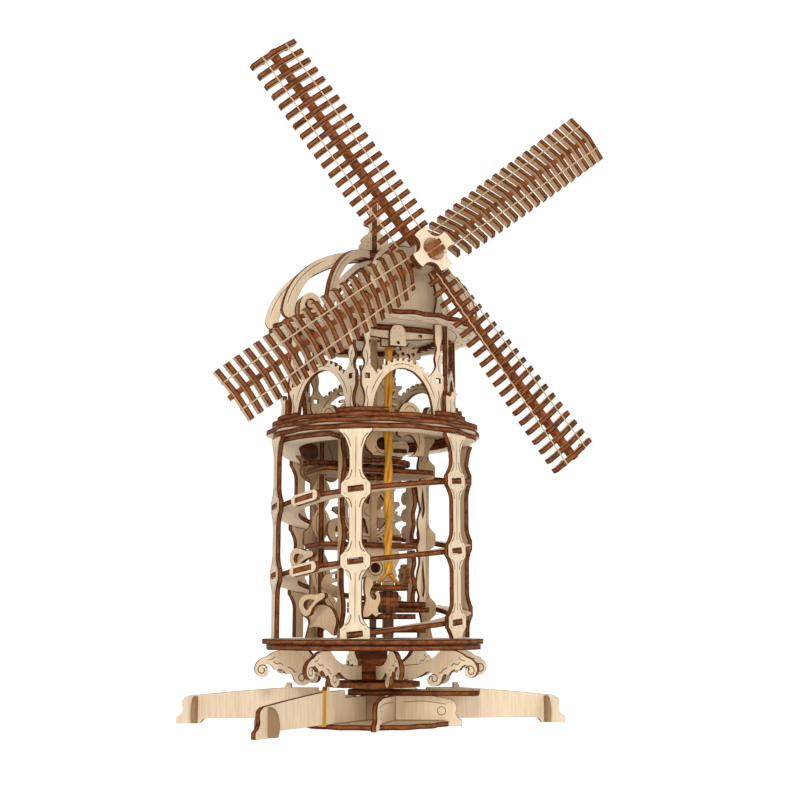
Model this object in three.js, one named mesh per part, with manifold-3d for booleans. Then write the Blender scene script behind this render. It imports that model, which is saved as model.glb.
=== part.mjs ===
// Desktop windmill kit cut from 3 mm plywood: a turntable base, an open six-post tower with a
// spiral ramp, a gallery of arches, a ribbed cap, and four lattice sails that drive the gears.
// Millimetres, +Z up. The origin is on the floor, on the tower's axis, and the sails face -Y.
import * as THREE from "three";
import { mergeVertices } from "three/addons/utils/BufferGeometryUtils.js";
import Module from "manifold-3d";

const wasm = await Module();
wasm.setup();

// ---- Driving dimensions ----
const PLY = 3; // thickness of every sheet
const GAP = 0.3; // clearance between touching pieces
const POSTS = 6;
const POST_RADIUS = 61.5; // middle of a post's sheet
const POST_START = -30; // degrees from the front, of the first post
const RAMP_PITCH = 40.9; // rise of the ramp in one turn
const RAMP_FIRST = 53.4; // middle of the ramp's sheet at the first post
const RAMP_TABS = 17; // posts that the ramp passes, counting each turn again
const RAMP_INNER = 46;
const RAMP_OUTER = POST_RADIUS - PLY / 2 - GAP;

const BASE_TURN = -20.8; // how far the base is turned under the tower
const ARMS = { arm_left: -97, arm_front_left: -31, arm_right: 100, arm_back: 165 };
const ARM_LENGTH = 118;
const ARM_TOP = 21.5;
const ARM_HUB_TOP = 17.3;
const FLOOR_PLATE_RADIUS = 42;
const LEVER_Z = 17.6;
const LEVER_ANGLE = 83; // in the base's own frame
const LEVER_LENGTH = 64;
const TURNTABLE_Z = 22.3;
const TURNTABLE_RADIUS = 28.7;

const BRACKETS = 8;
const BRACKET_START = -7.8;
const LOWER_DECK_Z = 44.3;
const LOWER_DECK_RADIUS = 66;
const POST_BOTTOM = LOWER_DECK_Z + 2 * PLY + 2 * GAP;
const UPPER_DECK_Z = 170;
const UPPER_DECK_RADII = [62.6, 65, 63.4];
const POST_TOP = UPPER_DECK_Z - GAP;
const GALLERY_Z = UPPER_DECK_Z + 3 * PLY + 3 * GAP;
const CAP_Z = 237;
const CAP_RADIUS = 65;
const CAP_TOP = CAP_Z + PLY + GAP; // where the pieces that stand on the cap's floor begin

const SHAFT_TILT = 3.93; // degrees, nose up
const HUB_Y = -80.8; // middle of the sails' plane, on the shaft's axis
const HUB_Z = 267.7;
const TENON_TURN = 35; // degrees from +X of the tenons in the hub
const SAIL_TURN = 38.7; // degrees from +X of the first sail at rest
const SLATS = 20;
const SLAT_FIRST = 15.2; // distance of the first slat from the shaft's axis
const SLAT_PITCH = 6.76;
const SLAT_HALF = 16;
const TWIST_HUB = -36; // degrees that the first slat is turned about the spar
const TWIST_TIP = -2.5;

const BAND_Y = -25; // the rubber band hangs here, on the middle plane
const GOVERNOR = { radius: 32, angle: -110.8 }; // the fluted side axle, from the tower's axis
const SHELF_LOW_Z = 104.6;
const SHELF_HIGH_Z = 150;
const CROWN_OFFSET = 10.2; // from the main shaft to the middle of each wheel that stands upright
const CROWN = { teeth: 12, root: 8.2, tip: 11.6 };

// ---- Materials ----
const face = (color, roughness = 0.75) =>
  new THREE.MeshStandardMaterial({ color, roughness, metalness: 0 });
const PALE = 0xf0dfc2;
const TAN = 0xd8b98c;
const BROWN = 0x8a5634;
const AMBER = 0xdd9b10;

// ---- Placing and joining ----
const rad = (degrees) => (degrees * Math.PI) / 180;
const group = new THREE.Group();

// A point at a distance from the axis; an angle of 0 is the front, -Y, and 90 is +X.
const polar = (angle, radius) => [radius * Math.sin(rad(angle)), -radius * Math.cos(rad(angle))];

function outline(points, holes = []) {
  const shape = new THREE.Shape(points.map(([x, y]) => new THREE.Vector2(x, y)));
  shape.holes = holes;
  return shape;
}

function roundHole(x, y, radius) {
  return new THREE.Path().absarc(x, y, radius, 0, 2 * Math.PI, true);
}

function boxHole(x, y, width, height) {
  const [w, h] = [width / 2, height / 2];
  return new THREE.Path([
    new THREE.Vector2(x - w, y - h),
    new THREE.Vector2(x - w, y + h),
    new THREE.Vector2(x + w, y + h),
    new THREE.Vector2(x + w, y - h),
  ]);
}

// A sheet cut to a shape, centred on its own middle plane.
function sheet(shape, thickness = PLY, curveSegments = 5) {
  const settings = { depth: thickness, bevelEnabled: false, curveSegments };
  return new THREE.ExtrudeGeometry(shape, settings).translate(0, 0, -thickness / 2);
}

// A sheet that lies flat with its underside at z.
const flat = (shape, z, thickness = PLY, curveSegments = 5) =>
  sheet(shape, thickness, curveSegments).translate(0, 0, z + thickness / 2);

// A sheet that stands up and faces the front: the shape's y becomes height.
const facing = (shape, y = 0, thickness = PLY, curveSegments = 5) =>
  sheet(shape, thickness, curveSegments)
    .rotateX(Math.PI / 2)
    .translate(0, y, 0);

// A sheet that stands up along a radius: the shape's x becomes the distance from the axis.
const RADIAL = new THREE.Matrix4().makeBasis(
  new THREE.Vector3(0, -1, 0),
  new THREE.Vector3(0, 0, 1),
  new THREE.Vector3(-1, 0, 0),
);
const radial = (shape, thickness = PLY, curveSegments = 5) =>
  sheet(shape, thickness, curveSegments).applyMatrix4(RADIAL);

const turned = (geometry, angle) => geometry.rotateZ(rad(angle));

const box = (x0, x1, y0, y1, z0, z1) =>
  new THREE.BoxGeometry(x1 - x0, y1 - y0, z1 - z0).translate(
    (x0 + x1) / 2,
    (y0 + y1) / 2,
    (z0 + z1) / 2,
  );

const drum = (radius, z0, z1, sides = 24) =>
  new THREE.CylinderGeometry(radius, radius, z1 - z0, sides)
    .rotateX(Math.PI / 2)
    .translate(0, 0, (z0 + z1) / 2);

function solidOf(geometry) {
  const bare = geometry.clone();
  bare.deleteAttribute("normal");
  bare.deleteAttribute("uv");
  const merged = mergeVertices(bare, 1e-4);
  return new wasm.Manifold(
    new wasm.Mesh({
      numProp: 3,
      vertProperties: new Float32Array(merged.attributes.position.array),
      triVerts: new Uint32Array(merged.index.array),
    }),
  );
}

function geometryOf(solid) {
  const mesh = solid.getMesh();
  const geometry = new THREE.BufferGeometry();
  geometry.setAttribute("position", new THREE.BufferAttribute(mesh.vertProperties, 3));
  geometry.setIndex(new THREE.BufferAttribute(mesh.triVerts, 1));
  geometry.computeVertexNormals();
  return geometry;
}

const join = (...parts) =>
  geometryOf(parts.map(solidOf).reduce((whole, part) => whole.add(part)));
const cut = (base, ...tools) =>
  geometryOf(tools.map(solidOf).reduce((whole, tool) => whole.subtract(tool), solidOf(base)));

function add(parent, name, geometry, color = PALE) {
  const mesh = new THREE.Mesh(geometry, face(color));
  mesh.name = name;
  parent.add(mesh);
}

// ---- Outlines ----
// A disc whose edge swells and shrinks in even waves.
function wavyDisc(radius, swell, waves, steps, holes = []) {
  const points = [];
  for (let i = 0; i < steps; i++) {
    const angle = (i * 360) / steps;
    points.push(polar(angle, radius + swell * Math.cos(rad(angle * waves))));
  }
  return outline(points, holes);
}

// A gear with blunt teeth; the first tooth points along an angle counted from the shape's +X.
function gear(teeth, root, tip, first = 0, share = 0.5, holes = []) {
  const pitch = 360 / teeth;
  const points = [];
  for (let i = 0; i < teeth; i++) {
    const middle = first + i * pitch;
    const corners = [
      [-share * 0.62, root],
      [-share * 0.3, tip],
      [share * 0.3, tip],
      [share * 0.62, root],
    ];
    for (const [offset, radius] of corners) {
      const angle = rad(middle + offset * pitch);
      points.push([radius * Math.cos(angle), radius * Math.sin(angle)]);
    }
  }
  return outline(points, holes);
}

// A crown gear: straight-sided fingers, which an upright wheel's teeth pass between.
function fingers({ teeth, root, tip }, first, halfWidth, holes = []) {
  const points = [];
  for (let i = 0; i < teeth; i++) {
    const middle = rad(first + (i * 360) / teeth);
    const [c, s] = [Math.cos(middle), Math.sin(middle)];
    const corners = [
      [root, -halfWidth],
      [tip - 0.9, -halfWidth],
      [tip, -halfWidth / 2],
      [tip, halfWidth / 2],
      [tip - 0.9, halfWidth],
      [root, halfWidth],
    ];
    for (const [x, y] of corners) points.push([x * c - y * s, x * s + y * c]);
  }
  return outline(points, holes);
}

// ---- Base ----
// The base stands still on the floor, and the tower turns on it.
function armShape() {
  const start = 10;
  const rise = 33;
  const tab = 49.5;
  const foot = ARM_LENGTH - 15;
  const tip = ARM_LENGTH;
  return outline([
    [start, PLY + GAP],
    [foot - 3, PLY + GAP],
    [foot, 2],
    [foot + 2.5, 0],
    [tip + 2, 0],
    [tip + 2, 3.6],
    [tip - 1.4, 7],
    [tip - 1.8, 14],
    [tip - 4, 16.2],
    [tab + 4, ARM_TOP - 0.4],
    [tab + 3, ARM_TOP + 2.8],
    [tab, ARM_TOP + 2.8],
    [tab, ARM_TOP],
    [rise, ARM_TOP],
    [rise, ARM_HUB_TOP],
    [start, ARM_HUB_TOP],
  ]);
}

// The rounded plate that crosses an arm near its end, like a foot.
function crossFoot() {
  const points = [
    [-7.2, 0],
    [7.2, 0],
    [8.6, 4],
    [8.4, 10],
    [6.2, 15],
    [2.2, 18],
    [-2.2, 18],
    [-6.2, 15],
    [-8.4, 10],
    [-8.6, 4],
  ];
  return facing(outline(points), -(ARM_LENGTH - 10));
}

// One upright plate of the lock's corner piece, from the corner to a foot.
function lockPlate(length) {
  const shape = outline([
    [0, PLY + GAP],
    [length - 10, PLY + GAP],
    [length - 8, 0],
    [length, 0],
    [length, 3.5],
    [length - 3.2, 7],
    [length - 3.6, 13],
    [length - 6, 15.4],
    [length - 18, ARM_HUB_TOP],
    [0, ARM_HUB_TOP],
  ]);
  return radial(shape);
}

// The lever lies over the corner piece and locks the tower when it is swung to the front.
function leverShape() {
  const ring = 15;
  const neck = 7;
  const half = 12.5;
  const points = [];
  for (let angle = 30; angle <= 330; angle += 15) points.push(polar(angle, ring));
  points.push([-half, -18], [-half, 3 - LEVER_LENGTH], [3 - half, -LEVER_LENGTH]);
  points.push([half - 3, -LEVER_LENGTH], [half, 3 - LEVER_LENGTH], [half, -52], [neck, -45]);
  return outline(points, [roundHole(0, 0, 8)]);
}

function buildBase() {
  const base = new THREE.Group();
  base.rotation.z = rad(BASE_TURN);
  group.add(base);
  add(base, "floor_plate", flat(wavyDisc(FLOOR_PLATE_RADIUS, 1.3, 15, 60), 0), TAN);
  for (const [name, angle] of Object.entries(ARMS)) {
    add(base, name, turned(join(radial(armShape()), crossFoot()), angle));
  }
  const corner = new THREE.Vector2(12, -7);
  const toFront = lockPlate(51).rotateZ(rad(-13)).translate(corner.x, corner.y, 0);
  const toSide = lockPlate(41).rotateZ(rad(86)).translate(corner.x, corner.y, 0);
  add(base, "lock_bracket", join(toFront, toSide));
  const post = drum(7.5, PLY + GAP, TURNTABLE_Z + PLY / 2);
  add(base, "turntable_base", join(post, drum(TURNTABLE_RADIUS, TURNTABLE_Z, TURNTABLE_Z + PLY, 32)), BROWN);
  add(base, "lock_lever", turned(flat(leverShape(), LEVER_Z), LEVER_ANGLE), TAN);
}

// ---- Tower ----
// A bracket under the lower deck: two scrolls that curl inwards on a waved lower edge.
function bracketShape() {
  const shape = new THREE.Shape();
  shape.moveTo(47.5, 44);
  shape.lineTo(57, 44);
  shape.splineThru([
    new THREE.Vector2(61, 41.6),
    new THREE.Vector2(66, 40),
    new THREE.Vector2(70.4, 37.2),
    new THREE.Vector2(71.4, 33.2),
    new THREE.Vector2(69.2, 29.8),
    new THREE.Vector2(65.6, 29.4),
    new THREE.Vector2(63.8, 31.6),
    new THREE.Vector2(65.2, 33.8),
    new THREE.Vector2(67.4, 33),
  ]);
  shape.splineThru([
    new THREE.Vector2(66.6, 35.6),
    new THREE.Vector2(62.8, 35.6),
    new THREE.Vector2(60, 33.2),
    new THREE.Vector2(56.4, 33.2),
    new THREE.Vector2(53.6, 30.8),
    new THREE.Vector2(50.2, 31),
    new THREE.Vector2(48.4, 28),
    new THREE.Vector2(46.6, 24.8),
    new THREE.Vector2(43, 23.3),
    new THREE.Vector2(39.8, 24.4),
    new THREE.Vector2(38.8, 27.2),
    new THREE.Vector2(40.6, 29.2),
    new THREE.Vector2(42.6, 28.2),
  ]);
  shape.splineThru([
    new THREE.Vector2(42, 31),
    new THREE.Vector2(38, 31.6),
    new THREE.Vector2(34.6, 29),
    new THREE.Vector2(30, 27.2),
    new THREE.Vector2(22, 26.8),
  ]);
  shape.lineTo(14.6, 26.8);
  shape.lineTo(14.6, 35);
  shape.splineThru([
    new THREE.Vector2(24, 35),
    new THREE.Vector2(34, 36.2),
    new THREE.Vector2(42, 39.4),
    new THREE.Vector2(47.5, 44),
  ]);
  return shape;
}

// Half the width of a post at a height above its nearest node or below its top.
function ramp1d(distance, steps) {
  for (let i = 1; i < steps.length; i++) {
    const [[d0, w0], [d1, w1]] = [steps[i - 1], steps[i]];
    if (distance <= d1) return w0 + ((w1 - w0) * (distance - d0)) / (d1 - d0);
  }
  return 0;
}
const POST_NECK = 3.6;
const NODE_STEPS = [
  [0, 8.6],
  [3.2, 8.6],
  [5.2, 6.4],
  [7.4, 4.8],
  [10.6, POST_NECK],
];
const FLARE_STEPS = [
  [0, 9.6],
  [1.6, 9.6],
  [5, 7],
  [9, 5],
  [15, POST_NECK],
];

// A post: narrow necks between the nodes that hold the ramp's tabs, and a flared top.
function postShape(nodes) {
  const heights = new Set([POST_BOTTOM, POST_TOP]);
  for (const node of nodes) {
    for (const [step] of NODE_STEPS) {
      heights.add(node - step);
      heights.add(node + step);
    }
  }
  for (const [step] of FLARE_STEPS) heights.add(POST_TOP - step);
  const kept = [...heights].filter((z) => z >= POST_BOTTOM && z <= POST_TOP);
  kept.sort((a, b) => a - b);
  const half = (z) =>
    Math.max(
      POST_NECK,
      ramp1d(POST_TOP - z, FLARE_STEPS),
      ...nodes.map((node) => ramp1d(Math.abs(z - node), NODE_STEPS)),
    );
  const right = kept.map((z) => [half(z), z]);
  const left = kept.map((z) => [-half(z), z]).reverse();
  return outline([...right, ...left]);
}

const RAMP_SLOPE = Math.atan(RAMP_PITCH / (2 * Math.PI * POST_RADIUS));

// The slot through a post, or the ramp's tab in it, tilted along the ramp.
const tabBox = (z, width, height, inner, outer) =>
  box(-width / 2, width / 2, -outer, -inner, -height / 2, height / 2)
    .rotateY(-RAMP_SLOPE)
    .translate(0, 0, z);

function buildPosts(tower) {
  for (let i = 0; i < POSTS; i++) {
    const nodes = [];
    for (let n = i; n < RAMP_TABS; n += POSTS) nodes.push(RAMP_FIRST + (n * RAMP_PITCH) / POSTS);
    const blank = facing(postShape(nodes), -POST_RADIUS);
    const slots = nodes.map((z) => tabBox(z, 9, 3.4, POST_RADIUS - 4, POST_RADIUS + 4));
    add(tower, "post_" + (i + 1), turned(cut(blank, ...slots), POST_START + (i * 360) / POSTS));
  }
}

// The ramp is a bar bent round the axis and lifted as it goes, with a tab for each post.
function rampGeometry() {
  const overrun = 8; // degrees past the first and last tab
  const span = ((RAMP_TABS - 1) * 360) / POSTS + 2 * overrun;
  const start = POST_START - overrun;
  const bar = new THREE.BoxGeometry(span, RAMP_OUTER - RAMP_INNER, PLY, Math.round(span / 15), 1, 1);
  const position = bar.attributes.position;
  for (let i = 0; i < position.count; i++) {
    const angle = start + span / 2 - position.getX(i);
    const radius = (RAMP_OUTER + RAMP_INNER) / 2 + position.getY(i);
    const lift = RAMP_FIRST + ((angle - POST_START) * RAMP_PITCH) / 360;
    const [x, y] = polar(angle, radius);
    position.setXYZ(i, x, y, Math.max(lift, POST_BOTTOM + PLY / 2) + position.getZ(i));
  }
  const tabs = [];
  for (let n = 0; n < RAMP_TABS; n++) {
    const z = RAMP_FIRST + (n * RAMP_PITCH) / POSTS;
    const tab = tabBox(z, 8.4, 2.6, RAMP_OUTER - 2, POST_RADIUS + 2.2);
    tabs.push(turned(tab, POST_START + (n * 360) / POSTS));
  }
  return join(bar, ...tabs);
}

const deckHoles = () => [roundHole(0, 0, 5), roundHole(0, BAND_Y, 6)];

function buildTower(tower) {
  const neck = drum(9, TURNTABLE_Z + PLY + GAP, LOWER_DECK_Z - GAP);
  const plate = drum(14, TURNTABLE_Z + PLY + GAP, TURNTABLE_Z + 3 * PLY + GAP);
  add(tower, "turntable_top", join(neck, plate), BROWN);
  for (let i = 0; i < BRACKETS; i++) {
    const bracket = radial(bracketShape(), PLY, 1);
    add(tower, "scroll_bracket_" + (i + 1), turned(bracket, BRACKET_START + (i * 360) / BRACKETS));
  }
  const lower = wavyDisc(LOWER_DECK_RADIUS - 1.6, 0.9, 12, 72);
  const upper = wavyDisc(LOWER_DECK_RADIUS, 0.9, 18, 72);
  add(tower, "lower_deck_bottom", flat(lower, LOWER_DECK_Z), BROWN);
  add(tower, "lower_deck_top", flat(upper, LOWER_DECK_Z + PLY + GAP), BROWN);
  buildPosts(tower);
  add(tower, "spiral_ramp", rampGeometry(), BROWN);
  UPPER_DECK_RADII.forEach((radius, i) => {
    const shape = wavyDisc(radius, 1.2, 12, 72, deckHoles());
    add(tower, "upper_deck_" + (i + 1), flat(shape, UPPER_DECK_Z + i * (PLY + GAP)), BROWN);
  });
}

// ---- Inner frame ----
// A side frame swells towards the ramp at three levels.
function sideFrame(inner, outer, z0, z1) {
  const points = [[inner, z0]];
  const levels = [z0 + 18, (z0 + z1) / 2, z1 - 18];
  const neck = outer - 7;
  for (const z of levels) points.push([neck, z - 9], [outer, z - 3.5], [outer, z + 3.5], [neck, z + 9]);
  points.push([inner, z1]);
  return outline(points);
}

function shelfShape(front, back, left, right, holes) {
  const corner = 6;
  const points = [
    [left + corner, front],
    [right - corner, front],
    [right, front + corner],
    [right, back - corner],
    [right - corner, back],
    [left + corner, back],
    [left, back - corner],
    [left, front + corner],
  ];
  return outline(points, holes);
}

function buildFrame(tower) {
  const z0 = POST_BOTTOM;
  const shelfEnd = 37;
  const right = facing(sideFrame(27, 43.5, z0, POST_TOP), 8);
  const slots = [SHELF_LOW_Z, SHELF_HIGH_Z].map((z) =>
    box(20, shelfEnd + GAP, 0, 20, z - GAP, z + PLY + GAP),
  );
  add(tower, "inner_frame_right", cut(right, ...slots));
  const left = facing(sideFrame(24, 37, z0, POST_TOP), -25.5).rotateZ(Math.PI);
  add(tower, "inner_frame_left", left);
  const [gx, gy] = polar(GOVERNOR.angle, GOVERNOR.radius);
  const holes = () => [roundHole(0, 0, 4.5), roundHole(gx, gy, 5)];
  const low = flat(shelfShape(-14, 23.6, -38, shelfEnd, holes()), SHELF_LOW_Z);
  const foot = SHELF_LOW_Z + 1;
  const side = [[-9, foot], [9, foot], [9, 131], [4, 138], [-4, 138], [-9, 131]];
  const wall = facing(outline(side, [roundHole(0, 128, 3)]), 17.5);
  add(tower, "shelf_low", join(low, wall), TAN);
  add(tower, "shelf_high", flat(shelfShape(-14, 23.6, -38, shelfEnd, holes()), SHELF_HIGH_Z), TAN);
}

// ---- Gears ----
// Each upright wheel has a tooth that points at the crown gear it meets.
const GREAT_PITCH = 21.33;
const PINION_PITCH = GOVERNOR.radius - GREAT_PITCH;
const WINDING_PITCH = 15;
const TOOTH_OUT = 1.35;
const TOOTH_IN = 1.8;
const GREAT_Z = 155;
const WINDING_Z = 62;
const FINGER_Z = 201.6;
const BAND_TOP = 226; // where the hanger holds the band

function wheel(teeth, root, tip, first, bore, spokes) {
  const holes = [roundHole(0, 0, bore)];
  for (let i = 0; i < spokes; i++) {
    const angle = (i * 360) / spokes + 180 / spokes;
    const [x, y] = polar(angle, root * 0.58);
    holes.push(roundHole(x, y, root * 0.2));
  }
  return gear(teeth, root, tip, first, 0.42, holes);
}

function buildMainShaft() {
  const crown = (z) => flat(fingers(CROWN, 15, 0.9), z);
  const pinion = flat(gear(12, 10 - TOOTH_IN, 10 + TOOTH_OUT, -90, 0.5), WINDING_Z);
  const axle = drum(3.2, POST_BOTTOM + GAP, 247.4, 8);
  add(group, "main_shaft", join(axle, pinion, crown(145.7), crown(180.9), crown(241.9)), TAN);
  const great = gear(24, GREAT_PITCH - TOOTH_IN, GREAT_PITCH + TOOTH_OUT, GOVERNOR.angle - 90, 0.5, [
    roundHole(0, 0, 3.6),
  ]);
  add(group, "great_wheel", flat(great, GREAT_Z), BROWN);
}

// The governor is two crossed fluted plates, with a pinion that the great wheel drives.
function buildGovernor() {
  const points = [];
  const bulges = [
    [54, 78],
    [78, 102],
    [110.5, 129],
    [129, 147.6],
  ];
  points.push([2.2, POST_BOTTOM + GAP]);
  for (const [z0, z1] of bulges) {
    for (const t of [0.04, 0.2, 0.38, 0.62, 0.8, 0.96]) {
      points.push([2 + 5.6 * Math.sqrt(Math.sin(Math.PI * t)), z0 + (z1 - z0) * t]);
    }
  }
  points.push([2.2, POST_TOP]);
  const mirrored = points.map(([x, z]) => [-x, z]).reverse();
  const plate = () => facing(outline([...points, ...mirrored]));
  const pinion = flat(gear(12, PINION_PITCH - TOOTH_IN, PINION_PITCH + TOOTH_OUT, 15, 0.5), GREAT_Z);
  pinion.rotateZ(rad(GOVERNOR.angle + 90));
  const turnedPlate = plate().rotateZ(Math.PI / 2);
  const body = join(plate(), turnedPlate, pinion);
  const [x, y] = polar(GOVERNOR.angle, GOVERNOR.radius);
  add(group, "governor_axle", body.translate(x, y, 0));
}

function buildUprightWheels(tower) {
  const spoked = facing(wheel(24, 17.4, 20, 90, 2.6, 6), 0);
  const stub = drum(2.6, -6, 3, 10).rotateX(-Math.PI / 2);
  add(group, "spoked_wheel", join(spoked, stub).translate(0, CROWN_OFFSET, 128));
  const hand = { teeth: 24, root: 13.6, tip: 20 };
  const finger = facing(fingers(hand, -90, 0.9, [roundHole(0, 7.6, 2), roundHole(0, -7.6, 2)]), 0);
  const pin = drum(2.6, -6, 3, 10).rotateX(-Math.PI / 2);
  add(group, "finger_wheel", join(finger, pin).translate(0, CROWN_OFFSET, FINGER_Z));
  const wall = outline([[-10, GALLERY_Z], [10, GALLERY_Z], [7, 205], [3, 209], [-3, 209], [-7, 205]], [
    roundHole(0, FINGER_Z, 3),
  ]);
  add(tower, "gallery_bearing", facing(wall, 17.8));
}

// The drum that winds the rubber band, with a hooked disc on top.
function buildWinding() {
  const ring = gear(18, WINDING_PITCH - TOOTH_IN, WINDING_PITCH + TOOTH_OUT, 100, 0.5);
  const parts = [
    drum(3, POST_BOTTOM + GAP, 79, 10),
    flat(ring, WINDING_Z),
    drum(5.6, 66, 78, 16),
    drum(12, 78.6, 81.6, 28),
  ];
  add(group, "winding_drum", join(...parts).translate(0, BAND_Y, 0), BROWN);
  add(group, "rubber_band", drum(2, 82, BAND_TOP - GAP, 8).translate(0, BAND_Y, 0), AMBER);
}

// ---- Gallery ----
// An arch fills each side between two posts, and carries two fluted uprights for the cap.
function archShape() {
  const foot = 26;
  const opening = 19.2;
  const shoulder = 24;
  const top = CAP_Z - GAP - GALLERY_Z;
  const right = [
    [foot, 0],
    [foot - 1.6, 12],
    [foot, 18],
    [foot, shoulder],
    [24.6, shoulder + 3],
    [25.2, shoulder + 12],
    [24, shoulder + 20],
    [25, top],
    [20.4, top],
    [20.8, shoulder + 20],
    [21.6, shoulder + 12],
    [21, shoulder + 2],
    [18, shoulder + 2.6],
    [11.6, 31.6],
    [11, 34.4],
    [7.6, 35.4],
    [7.2, 33.4],
  ];
  const left = right.map(([x, y]) => [-x, y]).reverse();
  const inner = [];
  for (let i = 0; i <= 10; i++) {
    const angle = rad(180 - i * 18);
    inner.push([opening * Math.cos(angle), 28.4 * Math.sin(angle)]);
  }
  return outline([...right, ...left, ...inner]);
}

function buildGallery(tower) {
  for (let i = 0; i < POSTS; i++) {
    const arch = facing(archShape(), -47.5).translate(0, 0, GALLERY_Z);
    add(tower, "gallery_arch_" + (i + 1), turned(arch, (i * 360) / POSTS));
  }
}

// ---- Cap ----
function gableShape(half, side, top, boreZ) {
  const points = [[-half, CAP_TOP]];
  points.push([half, CAP_TOP], [half, side]);
  for (let i = 1; i < 9; i++) {
    const angle = rad(i * 20);
    points.push([half * Math.cos(angle), side + (top - side) * Math.sin(angle)]);
  }
  points.push([-half, side]);
  return outline(points, [roundHole(0, boreZ, 5.6)]);
}

// A crescent rib: an outer and an inner ellipse about the cap's middle, cut off near the crown.
function ribShape() {
  const centre = CAP_TOP;
  const points = [];
  const outer = { r: 68.8, h: 51 };
  const inner = { r: 57.5, h: 43.6 };
  for (const angle of [5, 14, 24, 34, 44, 55, 66, 76, 84]) {
    points.push([outer.r * Math.cos(rad(angle)), centre + outer.h * Math.sin(rad(angle))]);
  }
  for (const angle of [82, 72, 61, 50, 39, 28, 17, 7]) {
    points.push([inner.r * Math.cos(rad(angle)), centre + inner.h * Math.sin(rad(angle))]);
  }
  points.push([58.4, CAP_TOP], [63.8, CAP_TOP]);
  return outline(points);
}

function finialShape() {
  const half = [
    [7.6, 0],
    [10, 4],
    [9.4, 8],
    [5.4, 12.4],
    [3, 16],
    [3.2, 18],
    [6.4, 19.4],
    [6.4, 21.6],
    [2.8, 23],
    [4.8, 28],
    [4.2, 33],
    [2.2, 36],
    [1.2, 37.6],
  ];
  const other = half.map(([x, y]) => [-x, y]).reverse();
  return outline([...half, ...other]);
}

// A round-topped plate below the cap's floor, with a tongue up through it.
function hangerShape() {
  const half = [[5.2, BAND_TOP], [5.2, 231.6], [4.6, 234.2], [4, 235.4], [4, 245], [2.6, 247]];
  const other = half.map(([x, z]) => [-x, z]).reverse();
  return outline([...half, ...other], [roundHole(0, BAND_TOP + 3.6, 1.4)]);
}

function buildCap(tower) {
  const hanger = boxHole(0, BAND_Y, 9, PLY + 2 * GAP);
  const floor = wavyDisc(CAP_RADIUS, 1.1, 24, 96, [roundHole(0, 0, 13), hanger]);
  add(tower, "cap_floor", flat(floor, CAP_Z));
  add(tower, "gable_front", facing(gableShape(22, 262, 286, 265.6), -50));
  add(tower, "gable_rear", facing(gableShape(20, 258, 274, 261.2), 14));
  const crownTop = CAP_TOP + 51.1;
  const ribs = [45, 75, 105, 165].flatMap((angle) => [angle, -angle]);
  const arcs = ribs.map((angle) => turned(radial(ribShape()), angle));
  add(tower, "dome_ribs", join(drum(10.5, crownTop - 7, crownTop), ...arcs));
  const blade = () => facing(finialShape()).translate(0, 0, crownTop + GAP);
  add(tower, "finial", join(blade(), blade().rotateZ(Math.PI / 2)), TAN);
  add(tower, "band_hanger", facing(hangerShape(), BAND_Y));
}

// ---- Sails ----
// One sail, pointing up: a square spar through bent slats, each a plate across the spar.
function sailGeometry() {
  const length = SLAT_FIRST + (SLATS - 1) * SLAT_PITCH + PLY / 2 + 1;
  const bend = 3;
  const deep = 4.2;
  const parts = [box(-1.5, 1.5, -3, 3, 6.6, length)];
  for (let i = 0; i < SLATS; i++) {
    const half = i === 0 ? SLAT_FIRST - 2 : SLAT_HALF; // the first slats of two sails meet at a corner
    const twist = TWIST_HUB + ((TWIST_TIP - TWIST_HUB) * i) / (SLATS - 1);
    const slat = outline([
      [-half, 2 - deep],
      [0, 2 - deep - bend],
      [half, 2 - deep],
      [half, 2],
      [0, 2 - bend],
      [-half, 2],
    ]);
    parts.push(turned(sheet(slat), twist).translate(0, 0, SLAT_FIRST + i * SLAT_PITCH));
  }
  return join(...parts);
}

// A four-armed star, with the two tenons of the shaft's sheets showing in its middle.
function hubGeometry() {
  const star = [];
  for (let i = 0; i < 4; i++) {
    const arm = SAIL_TURN + i * 90;
    const corners = [
      [-23, 13.4],
      [23, 13.4],
      [27, 11.2],
      [35, 9],
      [45, 8.2],
      [55, 9],
      [63, 11.2],
    ];
    for (const [offset, radius] of corners) {
      const angle = rad(arm + offset);
      star.push([radius * Math.cos(angle), radius * Math.sin(angle)]);
    }
  }
  const front = facing(outline(star), -11, 2 * PLY);
  const core = drum(9.2, -7, 9, 16).rotateX(Math.PI / 2);
  const tenons = [2.1, -2.1].map((offset) =>
    box(-5.4, 5.4, -17, -13, offset - 1.5, offset + 1.5).rotateY(-rad(TENON_TURN)),
  );
  return join(front, core, ...tenons);
}

function buildRotor() {
  const rotor = new THREE.Group();
  rotor.position.set(0, HUB_Y, HUB_Z);
  rotor.rotation.x = rad(-SHAFT_TILT);
  group.add(rotor);
  const coreSlots = [];
  for (let i = 0; i < 4; i++) {
    coreSlots.push(box(-1.8, 1.8, -3.3, 3.3, 6.2, 12).rotateY(rad(90 - SAIL_TURN - i * 90)));
  }
  add(rotor, "sail_hub", cut(hubGeometry(), ...coreSlots));
  for (let i = 0; i < 4; i++) {
    const sail = sailGeometry().rotateY(rad(90 - SAIL_TURN - i * 90));
    add(rotor, "sail_" + (i + 1), sail, BROWN);
  }
  add(rotor, "windshaft", drum(4.5, -99, -9.3, 8).rotateX(Math.PI / 2), TAN);
  const brake = wheel(24, 17.4, 20, 90, 4.8, 6);
  add(rotor, "brake_wheel", facing(brake, 72.15));
}

const tower = new THREE.Group();
group.add(tower);
buildBase();
buildTower(tower);
buildFrame(tower);
buildMainShaft();
buildGovernor();
buildUprightWheels(tower);
buildWinding();
buildGallery(tower);
buildCap(tower);
buildRotor();

export default group;
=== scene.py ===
"""A desktop windmill kit of laser-cut plywood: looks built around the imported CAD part."""

import math

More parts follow.
